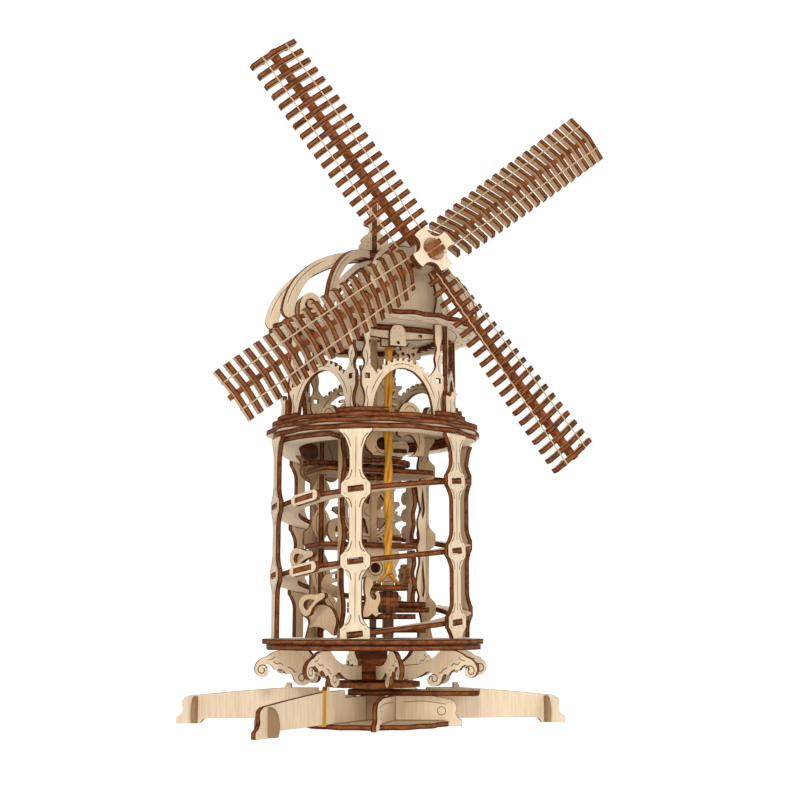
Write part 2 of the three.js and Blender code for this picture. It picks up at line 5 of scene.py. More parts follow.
import bpy
from mathutils import Matrix, Vector


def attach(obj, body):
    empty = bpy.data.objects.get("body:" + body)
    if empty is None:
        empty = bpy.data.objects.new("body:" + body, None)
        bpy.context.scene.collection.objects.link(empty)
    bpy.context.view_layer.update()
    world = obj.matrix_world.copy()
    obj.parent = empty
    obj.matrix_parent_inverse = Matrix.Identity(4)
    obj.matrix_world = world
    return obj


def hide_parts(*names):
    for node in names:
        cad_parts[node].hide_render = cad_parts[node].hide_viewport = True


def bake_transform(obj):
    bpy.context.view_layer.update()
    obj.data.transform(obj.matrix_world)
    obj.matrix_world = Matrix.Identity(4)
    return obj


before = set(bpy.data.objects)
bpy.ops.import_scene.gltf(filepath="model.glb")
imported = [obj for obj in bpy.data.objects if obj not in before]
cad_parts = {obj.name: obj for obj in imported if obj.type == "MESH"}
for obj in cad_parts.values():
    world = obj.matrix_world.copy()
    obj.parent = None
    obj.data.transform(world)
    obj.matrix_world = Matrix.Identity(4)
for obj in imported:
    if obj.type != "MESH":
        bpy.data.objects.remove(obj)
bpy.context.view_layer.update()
MM = 0.001
PLY = 3.0
GAP = 0.3
BOTH = (1, -1)

# ---- Dimensions shared with the CAD part, in millimetres ----
HUB_Y, HUB_Z, SHAFT_TILT = -80.8, 267.7, 3.93
SAIL_TURN = 38.7
SLATS, SLAT_FIRST, SLAT_PITCH, SLAT_HALF = 20, 15.2, 6.76, 16.0
TWIST_HUB, TWIST_TIP = -36.0, -2.5
BASE_TURN = -20.8
POST_RADIUS, POST_BOTTOM, POST_TOP = 61.5, 50.9, 169.7
RAMP_PITCH, RAMP_FIRST, RAMP_TABS = 40.9, 53.4, 17
RAMP_INNER, RAMP_OUTER = 46.0, 59.7
RAMP_SLOPE = math.degrees(math.atan(RAMP_PITCH / (2 * math.pi * POST_RADIUS)))
GOVERNOR = (-29.9, 11.4)
GREAT_Z, WINDING_Z, SHELF_LOW_Z, SHELF_HIGH_Z = 155.0, 62.0, 104.6, 150.0
CROWN_Z = (145.7, 180.9, 241.9)
UPRIGHT_Y = 10.2
SPOKED_Z, FINGER_Z = 128.0, 201.6
BAND_TOP = 226.0
GALLERY_Z, CAP_Z, CAP_TOP = 179.9, 237.0, 240.3
DECK_UNDER = 176.4
BAND_Y = -25.0


def rad(degrees):
    return math.radians(degrees)


def polar(angle, radius):
    return radius * math.sin(rad(angle)), -radius * math.cos(rad(angle))


# ---- Placing: each matrix takes a sheet's own x, y and thickness to the model, in millimetres ----
def flat(z, turn=0.0):
    """A level sheet at height z."""
    return Matrix.Rotation(rad(turn), 4, "Z") @ Matrix.Translation((0, 0, z))


def facing(y=0.0, turn=0.0, x=0.0, z=0.0):
    """A sheet on edge across the y axis, then turned about the model's upright axis."""
    stand = Matrix(((1, 0, 0, x), (0, 0, -1, y), (0, 1, 0, z), (0, 0, 0, 1)))
    return Matrix.Rotation(rad(turn), 4, "Z") @ stand


def radial(turn=0.0):
    """A sheet on edge along a radius, its x measured out from the centre."""
    stand = Matrix(((0, 0, -1, 0), (-1, 0, 0, 0), (0, 1, 0, 0), (0, 0, 0, 1)))
    return Matrix.Rotation(rad(turn), 4, "Z") @ stand


ROTOR = Matrix.Translation((0, HUB_Y, HUB_Z)) @ Matrix.Rotation(rad(-SHAFT_TILT), 4, "X")
BASE = Matrix.Rotation(rad(BASE_TURN), 4, "Z")


# ---- Materials ----
BUMP_DEPTH = 0.0002


def new_material(name):
    material = bpy.data.materials.new(name)
    material.use_nodes = True
    tree = material.node_tree
    tree.nodes.clear()
    output = tree.nodes.new("ShaderNodeOutputMaterial")
    shader = tree.nodes.new("ShaderNodeBsdfPrincipled")
    tree.links.new(shader.outputs[0], output.inputs[0])
    return material, tree, shader


def ramp_of(tree, source, stops):
    ramp = tree.nodes.new("ShaderNodeValToRGB")
    elements = ramp.color_ramp.elements
    while len(elements) < len(stops):
        elements.new(0.5)
    for element, (place, colour) in zip(elements, stops):
        element.position = place
        element.color = (*colour, 1)
    tree.links.new(source, ramp.inputs[0])
    return ramp.outputs[0]


def attribute_of(tree, name):
    node = tree.nodes.new("ShaderNodeAttribute")
    node.attribute_name = name
    return node


def noise_of(tree, vector, scale, detail=3.0, rough=0.55):
    mapping = tree.nodes.new("ShaderNodeMapping")
    mapping.inputs["Scale"].default_value = scale
    tree.links.new(vector, mapping.inputs[0])
    noise = tree.nodes.new("ShaderNodeTexNoise")
    noise.inputs["Scale"].default_value = 1.0
    noise.inputs["Detail"].default_value = detail
    noise.inputs["Roughness"].default_value = rough
    tree.links.new(mapping.outputs[0], noise.inputs["Vector"])
    return noise.outputs[0]


def mix_of(tree, kind, factor, a, b):
    node = tree.nodes.new("ShaderNodeMix")
    node.data_type = "RGBA"
    node.blend_type = kind
    if isinstance(factor, float):
        node.inputs[0].default_value = factor
    else:
        tree.links.new(factor, node.inputs[0])
    for socket, value in ((node.inputs[6], a), (node.inputs[7], b)):
        if isinstance(value, tuple):
            socket.default_value = (*value, 1)
        else:
            tree.links.new(value, socket)
    return node.outputs[2]


WHITE = (1.0, 1.0, 1.0)
BIRCH = [(0.28, (0.68, 0.535, 0.370)), (0.5, (0.775, 0.645, 0.475)), (0.75, (0.84, 0.725, 0.560))]
BLOTCHES = [(0.3, (0.93, 0.90, 0.86)), (0.7, WHITE)]
# painted shade: the faces' colour is multiplied darker for sheets that sit in shade, white for none
PAINTED_SHADES = [(0.0, (0.50, 0.385, 0.27)), (0.5, (0.80, 0.70, 0.59)), (1.0, WHITE)]
PLIES = [
    (0.0, (0.055, 0.019, 0.008)),
    (0.30, (0.120, 0.034, 0.010)),
    (0.36, (0.255, 0.088, 0.024)),
    (0.50, (0.155, 0.046, 0.012)),
    (0.66, (0.275, 0.100, 0.028)),
    (0.72, (0.115, 0.032, 0.009)),
    (1.0, (0.050, 0.018, 0.008)),
]
SCORCHES = [(0.32, (0.45, 0.40, 0.38)), (0.62, (1.35, 1.25, 1.15))]


def plywood_material():
    """Pale birch on a sheet's faces and charred plies on its cut edges.

    The mesh says which is which: edge is 1 on a cut edge and part way on a face taken
    towards the cut edges' colour, ply is the place through the thickness, a shade value
    paints shade into the colour of a face that sits in shade, and sheet holds the grain's
    coordinates.
    """
    material, tree, shader = new_material("birch_plywood")
    sheet = attribute_of(tree, "sheet").outputs["Vector"]
    painted_shade = attribute_of(tree, "painted_shade").outputs["Fac"]
    edge = attribute_of(tree, "edge").outputs["Fac"]
    ply = attribute_of(tree, "ply").outputs["Fac"]
    grain = noise_of(tree, sheet, (1.1, 0.05, 1.0), 4.0, 0.6)
    blotch = noise_of(tree, sheet, (0.07, 0.03, 0.3), 2.0)
    pale = ramp_of(tree, grain, BIRCH)
    warm = ramp_of(tree, blotch, BLOTCHES)
    face = mix_of(tree, "MULTIPLY", 1.0, pale, warm)
    # painted shade: darkens the faces of a sheet that sits in shade
    shade = ramp_of(tree, painted_shade, PAINTED_SHADES)
    face = mix_of(tree, "MULTIPLY", 1.0, face, shade)
    stripes = ramp_of(tree, ply, PLIES)
    scorch = noise_of(tree, sheet, (0.22, 0.22, 0.5), 3.0)
    burnt = ramp_of(tree, scorch, SCORCHES)
    cut = mix_of(tree, "MULTIPLY", 1.0, stripes, burnt)
    colour = mix_of(tree, "MIX", edge, face, cut)
    tree.links.new(colour, shader.inputs["Base Color"])
    rough = ramp_of(tree, edge, [(0.0, (0.62, 0.62, 0.62)), (1.0, (0.78, 0.78, 0.78))])
    tree.links.new(rough, shader.inputs["Roughness"])
    shader.inputs["Specular IOR Level"].default_value = 0.15
    bump = tree.nodes.new("ShaderNodeBump")
    bump.inputs["Strength"].default_value = 0.12
    bump.inputs["Distance"].default_value = BUMP_DEPTH
    tree.links.new(grain, bump.inputs["Height"])
    tree.links.new(bump.outputs[0], shader.inputs["Normal"])
    return material


def plain_material(name, low, high, scale, roughness):
    """One colour that drifts between two shades, with a fine bump."""
    material, tree, shader = new_material(name)
    where = tree.nodes.new("ShaderNodeTexCoord").outputs["Object"]
    value = noise_of(tree, where, scale, 4.0)
    colour = ramp_of(tree, value, [(0.3, low), (0.7, high)])
    tree.links.new(colour, shader.inputs["Base Color"])
    shader.inputs["Roughness"].default_value = roughness
    bump = tree.nodes.new("ShaderNodeBump")
    bump.inputs["Strength"].default_value = 0.3
    bump.inputs["Distance"].default_value = BUMP_DEPTH
    tree.links.new(value, bump.inputs["Height"])
    tree.links.new(bump.outputs[0], shader.inputs["Normal"])
    return material


def set_shader(material, **values):
    shader = material.node_tree.nodes["Principled BSDF"]
    for name, value in values.items():
        shader.inputs[name.replace("_", " ")].default_value = value


PLYWOOD = plywood_material()
ENGRAVED = plain_material(
    "engraved_char", (0.035, 0.017, 0.010), (0.090, 0.040, 0.020), (900, 900, 900), 0.85
)
RUBBER = plain_material(
    "amber_rubber", (0.56, 0.24, 0.006), (0.74, 0.36, 0.014), (300, 300, 60), 0.42
)
THREAD = plain_material(
    "beige_thread", (0.44, 0.31, 0.18), (0.62, 0.48, 0.31), (1800, 1800, 1800), 0.8
)
FLOOR = plain_material("pale_floor", (0.36, 0.36, 0.36), (0.40, 0.40, 0.40), (3, 3, 3), 0.9)
set_shader(RUBBER, Subsurface_Weight=0.1)
set_shader(FLOOR, Emission_Color=(1, 1, 1, 1), Emission_Strength=0.82)


# ---- Meshes ----
GRAIN_SHIFT = (37.1, 91.7)
# face darkenings: the first takes a face to the cut edges' colour, the second paints it near black as
# shadow
DARKENED, SHADOW_BLACK = 1.0, 2.0


def ply_at(z, thickness, face_edge):
    """The ply colour of a point: its place through the sheet, or one colour on a darkened face."""
    # near black: a face painted as shadow
    if face_edge > 1.5:
        return 0.02
    # a face taken to the cut edges' colour, on some sheets as painted shade
    if face_edge > 0.5:
        return 0.42
    return min(max(z / thickness + 0.5, 0.0), 1.0)


class Build:
    """Collects the polygons of one piece, in millimetres, and makes its object.

    The seed moves the grain, so that no two sheets look alike.
    """

    def __init__(self, seed=0.0):
        self.verts, self.sheet, self.ply = [], [], []
        self.faces, self.edge, self.slot = [], [], []
        self.seed = seed

    def points(self, points, matrix, ply):
        for x, y, z in points:
            self.verts.append(matrix @ Vector((x, y, z)))
            across, along = (self.seed * shift for shift in GRAIN_SHIFT)
            self.sheet.append((x + across, y + along, z))
            self.ply.append(ply)

    def face(self, indices, edge, slot=0):
        self.faces.append(indices)
        self.edge.append(edge)
        self.slot.append(slot)

    def plate(
        self, outline, matrix, holes=(), thickness=PLY, bevel=0.12, edge=1.0, face_edge=0.0
    ):
        """A flat sheet: an outline with holes, with a small round on its cut edges.

        edge and face_edge say how far its edges and its two faces take the charred colour;
        on some faces that darkening is painted shade.
        """
        shape = bpy.data.curves.new("outline", "CURVE")
        shape.dimensions = "2D"
        shape.fill_mode = "BOTH"
        for loop in (outline, *holes):
            spline = shape.splines.new("POLY")
            spline.points.add(len(loop) - 1)
            for point, (x, y) in zip(spline.points, loop):
                point.co = (x, y, 0, 1)
            spline.use_cyclic_u = True
        shape.extrude = thickness / 2 - bevel
        shape.bevel_depth = bevel
        shape.bevel_resolution = 0
        shape.offset = -bevel
        holder = bpy.data.objects.new("outline", shape)
        mesh = bpy.data.meshes.new_from_object(holder)
        half = thickness / 2
        first = len(self.verts)
        flip = matrix.to_3x3().determinant() < 0
        for v in mesh.vertices:
            self.points([v.co], matrix, ply_at(v.co.z, thickness, face_edge))
        for polygon in mesh.polygons:
            indices = [first + i for i in polygon.vertices]
            if flip:
                indices.reverse()
            level = abs(polygon.normal.z) > 0.95 and abs(abs(polygon.center.z) - half) < 0.02
            self.face(indices, min(face_edge, 1.0) if level else edge)
        bpy.data.objects.remove(holder)
        bpy.data.curves.remove(shape)
        bpy.data.meshes.remove(mesh)
        return self

    def line(self, path, matrix, width=0.55, sides=(1,), thickness=PLY, closed=False):
        """An engraved line: a dark ribbon let into the sheet's face."""
        count = len(path)
        rails = []
        for i, (x, y) in enumerate(path):
            before = path[i - 1] if i or closed else path[i]
            after = path[(i + 1) % count] if i + 1 < count or closed else path[i]
            dx, dy = after[0] - before[0], after[1] - before[1]
            length = math.hypot(dx, dy) or 1.0
            taper = 1.0 if closed or 0 < i < count - 1 else 0.45
            nx, ny = -dy / length * width / 2 * taper, dx / length * width / 2 * taper
            rails.append(((x + nx, y + ny), (x - nx, y - ny)))
        for side in sides:
            top, low = side * (thickness / 2 + 0.05), side * (thickness / 2 - 0.15)
            first = len(self.verts)
            for a, b in rails:
                self.points([(*a, top), (*b, top), (*b, low), (*a, low)], matrix, 0.0)
            for i in range(count if closed else count - 1):
                p, q = first + 4 * i, first + 4 * ((i + 1) % count)
                for j in range(4):
                    k = (j + 1) % 4
                    quad = [p + j, p + k, q + k, q + j]
                    self.face(quad if side > 0 else quad[::-1], 1.0, 1)
            if not closed:
                last = first + 4 * (count - 1)
                ends = ([first + 3, first + 2, first + 1, first], [last, last + 1, last + 2, last + 3])
                for quad in ends:
                    self.face(quad if side > 0 else quad[::-1], 1.0, 1)
        return self

    def tube(self, path, radius, matrix=Matrix.Identity(4), sides=8, flat_ratio=1.0, twist=None):
        """A round or flattened tube along a path of points, closed at both ends."""
        count = len(path)
        points = [Vector(p) for p in path]
        up = Vector((0.31, 0.17, 0.93)).normalized()
        first = len(self.verts)
        normal = None
        for i, point in enumerate(points):
            ahead = points[min(i + 1, count - 1)] - points[max(i - 1, 0)]
            ahead.normalize()
            if normal is None:
                normal = ahead.cross(up).normalized()
            normal = (normal - ahead * normal.dot(ahead)).normalized()
            across = ahead.cross(normal)
            r = radius[i] if isinstance(radius, (list, tuple)) else radius
            spin = twist[i] if twist else 0.0
            ring = []
            for k in range(sides):
                a = 2 * math.pi * k / sides
                u, v = r * math.cos(a), r * flat_ratio * math.sin(a)
                c, s = math.cos(spin), math.sin(spin)
                ring.append(point + normal * (u * c - v * s) + across * (u * s + v * c))
            self.points(ring, matrix, k / sides)
        for i in range(count - 1):
            for k in range(sides):
                m = (k + 1) % sides
                p = first + sides * i
                self.face([p + k, p + m, p + sides + m, p + sides + k], 0.0)
        self.face([first + k for k in reversed(range(sides))], 0.0)
        last = first + sides * (count - 1)
        self.face([last + k for k in range(sides)], 0.0)
        return self

    def object(self, name, body, nodes=(), materials=None, painted_shade=1.0):
        """Makes the piece. One of a single material is shaded smooth."""
        mesh = bpy.data.meshes.new(name)
        mesh.from_pydata([v * MM for v in self.verts], [], self.faces)
        for material in materials or (PLYWOOD, ENGRAVED):
            mesh.materials.append(material)
        mesh.polygons.foreach_set("material_index", self.slot)
        mesh.polygons.foreach_set("use_smooth", [materials is not None] * len(self.faces))
        # the last argument is painted shade, darkening the faces' colour of a sheet in shade
        painted_shades = [painted_shade] * len(self.faces)
        for label, values in (("edge", self.edge), ("painted_shade", painted_shades), ("ply", self.ply)):
            domain = "POINT" if label == "ply" else "FACE"
            mesh.attributes.new(label, "FLOAT", domain).data.foreach_set("value", values)
        grain = mesh.attributes.new("sheet", "FLOAT_VECTOR", "POINT")
        grain.data.foreach_set("vector", [c for p in self.sheet for c in p])
        mesh.validate()
        mesh.update()
        made = bpy.data.objects.new(name, mesh)
        bpy.context.scene.collection.objects.link(made)
        if body:
            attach(made, body)
        if nodes:
            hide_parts(*nodes)
        return made


# ---- Outlines ----
def smooth(points, steps=6, closed=False):
    """A Catmull-Rom curve through the points."""
    count = len(points)
    out = []
    spans = count if closed else count - 1
    for i in range(spans):
        if closed:
            a, b, c, d = (points[(i + k - 1) % count] for k in range(4))
        else:
            b, c = points[i], points[i + 1]
            a = points[i - 1] if i else b
            d = points[i + 2] if i + 2 < count else c
        for s in range(steps):
            t = s / steps
            out.append(
                tuple(
                    0.5 * (2 * b[k] + (c[k] - a[k]) * t + (2 * a[k] - 5 * b[k] + 4 * c[k] - d[k]) * t * t
                    + (3 * b[k] - a[k] - 3 * c[k] + d[k]) * t ** 3)
                    for k in range(2)
                )
            )
    if not closed:
        out.append(tuple(points[-1]))
    return out


def oval(angles, wide, high, x=0.0, y=0.0):
    """Points on an ellipse, one at each angle."""
    return [(x + wide * math.cos(rad(a)), y + high * math.sin(rad(a))) for a in angles]


def circle(x, y, radius, steps=32):
    return oval([360 * i / steps for i in range(steps)], radius, radius, x, y)


def arc(x, y, radius, start, end, steps=12):
    return oval([start + (end - start) * i / steps for i in range(steps + 1)], radius, radius, x, y)


def turned(points, angle, x=0.0, y=0.0):
    """The points turned about the origin and then moved to x, y."""
    c, s = math.cos(rad(angle)), math.sin(rad(angle))
    return [(x + px * c - py * s, y + px * s + py * c) for px, py in points]


def moved(points, x, y):
    return [(x + px, y + py) for px, py in points]


def rectangle(x, y, width, height):
    w, h = width / 2, height / 2
    return [(x - w, y - h), (x + w, y - h), (x + w, y + h), (x - w, y + h)]


def wavy(radius, swell, waves, steps=288):
    """A disc whose rim waves in and out."""
    angles = [i * 360 / steps for i in range(steps)]
    return [polar(a, radius + swell * math.cos(rad(a * waves))) for a in angles]


def mirror(right):
    """The right half of an outline joined to its mirror image."""
    return list(right) + [(-x, y) for x, y in reversed(right)]


# ---- Base ----
ARMS = (("arm_left", -97), ("arm_front_left", -31), ("arm_right", 100), ("arm_back", 165))
ARM_LENGTH, ARM_TOP, ARM_HUB_TOP = 118.0, 21.5, 17.3
FLOOR_TOP = 3.3


def arm_outline():
    """An arm on edge: distance from the centre against height, with a low toe at its end."""
    sole = [(-18, FLOOR_TOP), (-15, 2.4), (-12.5, 0), (-8, 0)]
    toe = [(2, 3.6), (-0.6, 5.4), (-2.0, 8.0), (-1.6, 11.5), (-2.0, 14.2), (-5, 16.2)]
    sole, toe = (moved(points, ARM_LENGTH, 0) for points in (sole, toe))
    outline = [(10, FLOOR_TOP), sole[0]]
    outline += [(u, max(v, 0.0)) for u, v in smooth(sole, 4)[1:]]
    outline += [(ARM_LENGTH + 2, 0)] + smooth(toe, 5)
    outline += smooth([toe[-1], (85, 19.0), (57, 21.2)], 5)[1:]
    outline += [(53.5, 21.3), (52.5, 24.3), (49.5, 24.3), (49.5, ARM_TOP), (33, ARM_TOP)]
    return outline + [(33, ARM_HUB_TOP), (10, ARM_HUB_TOP)]


def build_arms():
    half = smooth([(6.6, 0.4), (7.4, 3), (7.6, 7), (6.6, 11.6), (4.2, 15.0), (0, 16.4)], 5)
    for name, angle in ARMS:
        build = Build(angle)
        build.plate(arm_outline(), BASE @ radial(angle))
        build.object(name + "_plate", "base", [name])
        build = Build(angle + 7)
        place = BASE @ facing(-(ARM_LENGTH - 10), angle)
        # the foot's faces are darkened towards the edge colour and brown: painted shade from its arm
        build.plate(mirror(half), place, bevel=0.3, edge=0.35, face_edge=0.3)
        build.object(name + "_foot", "base", painted_shade=0.1)


def build_lock_corner():
    """Two short arms that meet at the front and guard the lever."""
    build = Build(9)
    toe = [
        (0, 3.4), (-2.4, 4.8), (-3.6, 7.2), (-3.1, 10), (-3.8, 13), (-6.4, 15.3), (-12, 16.4),
        (-18, ARM_HUB_TOP),
    ]
    for turn, length, start in ((-13, 51.0, 0), (86, 41.0, 1.6)):
        place = BASE @ Matrix.Translation((12, -7, 0)) @ radial(turn)
        outline = [(start, FLOOR_TOP), (length - 10, FLOOR_TOP), (length - 8, 0), (length, 0)]
        outline += smooth(moved(toe, length, 0), 5) + [(start, ARM_HUB_TOP)]
        build.plate(outline, place)
        line = smooth([(6, 13.6), (length - 22, 14.2), (length - 9, 12.4)], 6)
        build.line(line, place, 0.35, sides=BOTH)
        build.line(circle(length - 12, 8.6, 2.4, 18), place, 0.4, sides=BOTH, closed=True)
    build.object("lock_corner", "base", ["lock_bracket"])


def build_lever():
    build = Build(13)
    outline = [polar(a, 15) for a in range(30, 331, 8)] + [
        (-12.5, -18), (-12.5, -61), (-9.5, -64), (9.5, -64), (12.5, -61), (12.5, -52), (7, -45),
    ]
    place = BASE @ flat(19.1, 83)
    build.plate(outline, place, [circle(0, 0, 8, 32)])
    build.line(smooth([(-9, -24), (-9.5, -40), (-9, -58), (0, -60.5), (9, -58)], 6), place, 0.45)
    build.object("lever_plate", "lever", ["lock_lever"], painted_shade=0.6)


def build_arm_band():
    """A rubber band round the front left arm: two walls, a top and a bottom."""
    low, high = 54.2, 57.0
    place = BASE @ radial(-31)
    build = Build(14)
    for side in BOTH:
        wall = place @ Matrix.Translation((0, 0, side * 1.85))
        build.plate([(low, 3.0), (high, 3.0), (high, 21.3), (low, 21.6)], wall, thickness=0.7)
    for strip in (
        [(low, 21.5), (high, 21.3), (high, 22.0), (low, 22.2)],
        [(low, 2.5), (high, 2.5), (high, 3.2), (low, 3.2)],
    ):
        build.plate(strip, place, thickness=4.4)
    build.object("arm_band", "base", materials=(RUBBER, RUBBER))


def build_base():
    build = Build(1)
    build.plate(wavy(45.5, 1.3, 15), BASE @ flat(1.5))
    build.line(circle(0, 0, 40, 72), BASE @ flat(1.5), 0.5, closed=True)
    build.object("floor_disc", "base", ["floor_plate"], painted_shade=0.8)
    build_arms()
    build_lock_corner()
    build = Build(12)
    build.plate(circle(0, 0, 7.4, 24), flat(12.8), thickness=19.0, edge=0.0)
    # the top face takes the cut edges' colour and the disc's faces are darkened: painted shade
    build.plate(wavy(28.2, 0.45, 24), flat(23.8), face_edge=DARKENED)
    build.line(circle(0, 0, 24, 60), flat(23.8), 0.6, closed=True)
    build.object("turntable_disc", "base", ["turntable_base"], painted_shade=0.2)
    build_lever()
    build_arm_band()


# ---- Tower ----
def spiral(x, y, start, end, outer, inner, steps=22):
    points = []
    for i in range(steps + 1):
        t = i / steps
        r = outer + (inner - outer) * t
        points += oval([start + (end - start) * t], r, r, x, y)
    return points


def bracket_outline():
    upper = smooth(
        [
            (57, 44), (61.5, 42.4), (64.4, 40.4), (67.6, 39.2), (70.4, 36.8), (71.6, 33.4),
            (70.2, 30.2), (67.2, 28.6), (64.2, 29.5), (63.3, 32), (64.7, 33.9), (66.7, 33.2),
        ],
        7,
    )
    lower = smooth(
        [
            (66.3, 35.4), (63.6, 35.9), (61.2, 34.4), (59.4, 32.6), (56.6, 33.2), (54.2, 31.8),
            (52.6, 29.9), (50.4, 30.4), (48.8, 28.8), (47.4, 25.6), (44.6, 23.7), (41.4, 23.5),
            (39, 25), (38.5, 27.4), (40, 29.2), (42.2, 28.6),
        ],
        7,
    )
    inner = smooth([(42, 30.8), (38.6, 31.6), (35, 29.6), (30, 27.6), (22, 26.9), (14.6, 26.8)], 6)
    back = smooth([(14.6, 35), (24, 35), (34, 36.2), (42, 39.4), (47.5, 44)], 6)
    return upper + lower + inner + back


BRACKET_LINES = (
    (spiral(67.2, 32.6, 170, -250, 3.3, 1.0), 0.55),
    (spiral(43.2, 27.6, 190, -220, 3.2, 0.9), 0.55),
    (smooth([(60.5, 37.6), (58.6, 36.0), (56.4, 36.6), (54.6, 35.0)], 5), 0.5),
    (smooth([(52, 34.2), (49.6, 33.2), (47.8, 31.2), (46.6, 31.4)], 5), 0.5),
    (smooth([(64, 38.2), (61.4, 38.8), (59.6, 40.2)], 5), 0.45),
)


def build_tower():
    build = Build(20)
    build.plate(circle(0, 0, 9, 40), flat(34.8), thickness=18.4)
    build.plate(wavy(13.6, 0.4, 12, 96), flat(28.6), thickness=6.0)
    # the neck's faces are darkened: painted shade under the deck
    build.object("turntable_neck", "tower", ["turntable_top"], painted_shade=0.3)
    outline = bracket_outline()
    for i in range(8):
        place = radial(-7.8 + i * 45)
        build = Build(21 + i)
        build.plate(outline, place)
        for path, width in BRACKET_LINES:
            build.line(path, place, width, sides=BOTH)
        build.object(f"scroll_{i + 1}", "tower", [f"scroll_bracket_{i + 1}"])
    build = Build(30)
    build.plate(wavy(64.4, 0.9, 12), flat(45.8))
    build.object("deck_low_a", "tower", ["lower_deck_bottom"])
    build = Build(31)
    build.plate(wavy(66, 0.9, 18), flat(49.1))
    build.line(wavy(57.6, 0.0, 1, 120), flat(49.1), 0.5, closed=True)
    build.object("deck_low_b", "tower", ["lower_deck_top"])
    ring, bores = [circle(0, 0, 50, 72)], [circle(0, 0, 5, 24), circle(0, BAND_Y, 6, 24)]
    for i, (radius, turn, holes) in enumerate(((62.6, 0, ring), (65.0, 14, ring), (63.4, 0, bores))):
        build = Build(32 + i)
        build.plate(wavy(radius, 1.3, 12), flat(171.5 + i * 3.3, turn), holes)
        build.object(f"deck_high_{i + 1}", "tower", [f"upper_deck_{i + 1}"])


NECK = 3.6
NODE = [(0, 8.6), (3.0, 8.6), (4.4, 7.0), (5.6, 6.1), (7.4, 4.9), (9.6, 3.9), (12, NECK)]
FLARE = [(0, 9.6), (1.4, 9.6), (2.6, 8.2), (5, 6.4), (8, 5.1), (11.5, 4.0), (16, NECK)]


def half_width(distance, steps):
    """The post's half width at a distance from a node or from its top."""
    for (d0, w0), (d1, w1) in zip(steps, steps[1:]):
        if distance <= d1:
            return w0 + (w1 - w0) * (distance - d0) / (d1 - d0)
    return 0.0


def post_outline(nodes):
    """A post: narrow necks, a knuckle at each node and a flare under the upper deck."""
    heights = {POST_BOTTOM, POST_TOP}
    for node in nodes:
        heights |= {node + side * d for d, _ in NODE for side in BOTH}
    heights |= {POST_TOP - d for d, _ in FLARE}
    right = []
    for z in sorted(h for h in heights if POST_BOTTOM <= h <= POST_TOP):
        knuckles = [half_width(abs(z - node), NODE) for node in nodes]
        right.append((max(NECK, half_width(POST_TOP - z, FLARE), *knuckles), z))
    return mirror(right)


def post_lines(nodes):
    """The engraved lines: bows and ticks round each node, a line up each neck."""
    lines = []
    for node in nodes:
        for side in BOTH:
            for up in BOTH:
                bow = [
                    (side * u, node + up * v)
                    for u, v in ((5.6, 5.0), (3.6, 6.4), (2.6, 8.8), (2.3, 11))
                ]
                ends = sorted(y for _, y in bow)
                if POST_BOTTOM + 1 < ends[0] and ends[-1] < POST_TOP - 12:
                    lines.append((smooth(bow, 4), 0.5))
                tick = node + up * 3.6
                if tick > POST_BOTTOM + 1:
                    lines.append(([(side * 6.6, tick - 1.2 * up), (side * 5.4, tick)], 0.5))
    for low, high in zip([POST_BOTTOM - 6] + nodes, nodes + [POST_TOP + 2]):
        a, b = max(low + 6.5, POST_BOTTOM + 1), min(high - 6.5, POST_TOP - 3)
        if b - a > 8:
            lines.append(([(0, a), (0, (a + b) / 2), (0, b)], 0.45))
    for side in BOTH:
        flare = [(side * u, POST_TOP - v) for u, v in ((7.2, 2.4), (4.6, 5.6), (3.0, 10.5))]
        lines.append((smooth(flare, 5), 0.5))
    return lines


def build_posts():
    for i in range(6):
        nodes = [RAMP_FIRST + n * RAMP_PITCH / 6 for n in range(i, RAMP_TABS, 6)]
        build = Build(40 + i)
        place = facing(-POST_RADIUS, -30 + i * 60)
        slots = [
            turned(rectangle(0, 0, 9, 3.4), RAMP_SLOPE, y=node)
            for node in nodes
            if node - 2.5 >= POST_BOTTOM
        ]
        build.plate(post_outline(nodes), place, slots)
        for path, width in post_lines(nodes):
            build.line(path, place, width)
        build.object(f"post_plate_{i + 1}", "tower", [f"post_{i + 1}"])


def build_ramp():
    """A spiral strip with a tab in each post's slot. Its last part runs level under the deck."""
    build = Build(50)
    over, under_deck, step = 8.0, 96.0, 3.0
    lowest, highest = POST_BOTTOM + 1.5, 167.8
    span = (RAMP_TABS - 1) * 60 + 2 * over + under_deck
    count = int(span / step)
    half = PLY / 2
    section = ((RAMP_INNER, half), (RAMP_OUTER, half), (RAMP_OUTER, -half), (RAMP_INNER, -half))
    for i in range(count + 1):
        angle = -30 - over + span * i / count
        z = min(max(RAMP_FIRST + (angle + 30) * RAMP_PITCH / 360, lowest), highest)
        for radius, up in section:
            x, y = polar(angle, radius)
            build.verts.append(Vector((x, y, z + up)))
            build.sheet.append((radius, angle * 0.9, up))
            build.ply.append(up / 3 + 0.5)
    for i in range(count):
        p, q = 4 * i, 4 * i + 4
        for j in range(4):
            k = (j + 1) % 4
            build.face([p + j, q + j, q + k, p + k], float(j in (1, 3)))
    last = 4 * count
    build.face([0, 1, 2, 3], 1.0)
    build.face([last + 3, last + 2, last + 1, last], 1.0)
    tilt = Matrix.Rotation(rad(-RAMP_SLOPE), 4, "Y")
    for n in range(RAMP_TABS):
        place = flat(RAMP_FIRST + n * RAMP_PITCH / 6, -30 + n * 60) @ tilt
        build.plate(rectangle(0, -61.05, 8.4, 5.1), place, thickness=2.6)
    build.object("ramp_strip", "tower", ["spiral_ramp"])


# ---- Gallery and cap ----
def arch_lines():
    lines = []
    for s in BOTH:
        lines.append((oval((22, 30, 38, 46, 54), s * 21.8, 31.2), 0.45))
        low = [(s * 22.4, 16.5), (s * 23.2, 12), (s * 22.2, 8), (s * 22.6, 4)]
        lines.append((smooth(low, 4), 0.45))
        lines.append((smooth([(s * 23.4, 28), (s * 22.4, 33), (s * 23.6, 38)], 4), 0.4))
    return lines + [(oval((72, 81, 90, 99, 108), 21.6, 31), 0.4)]


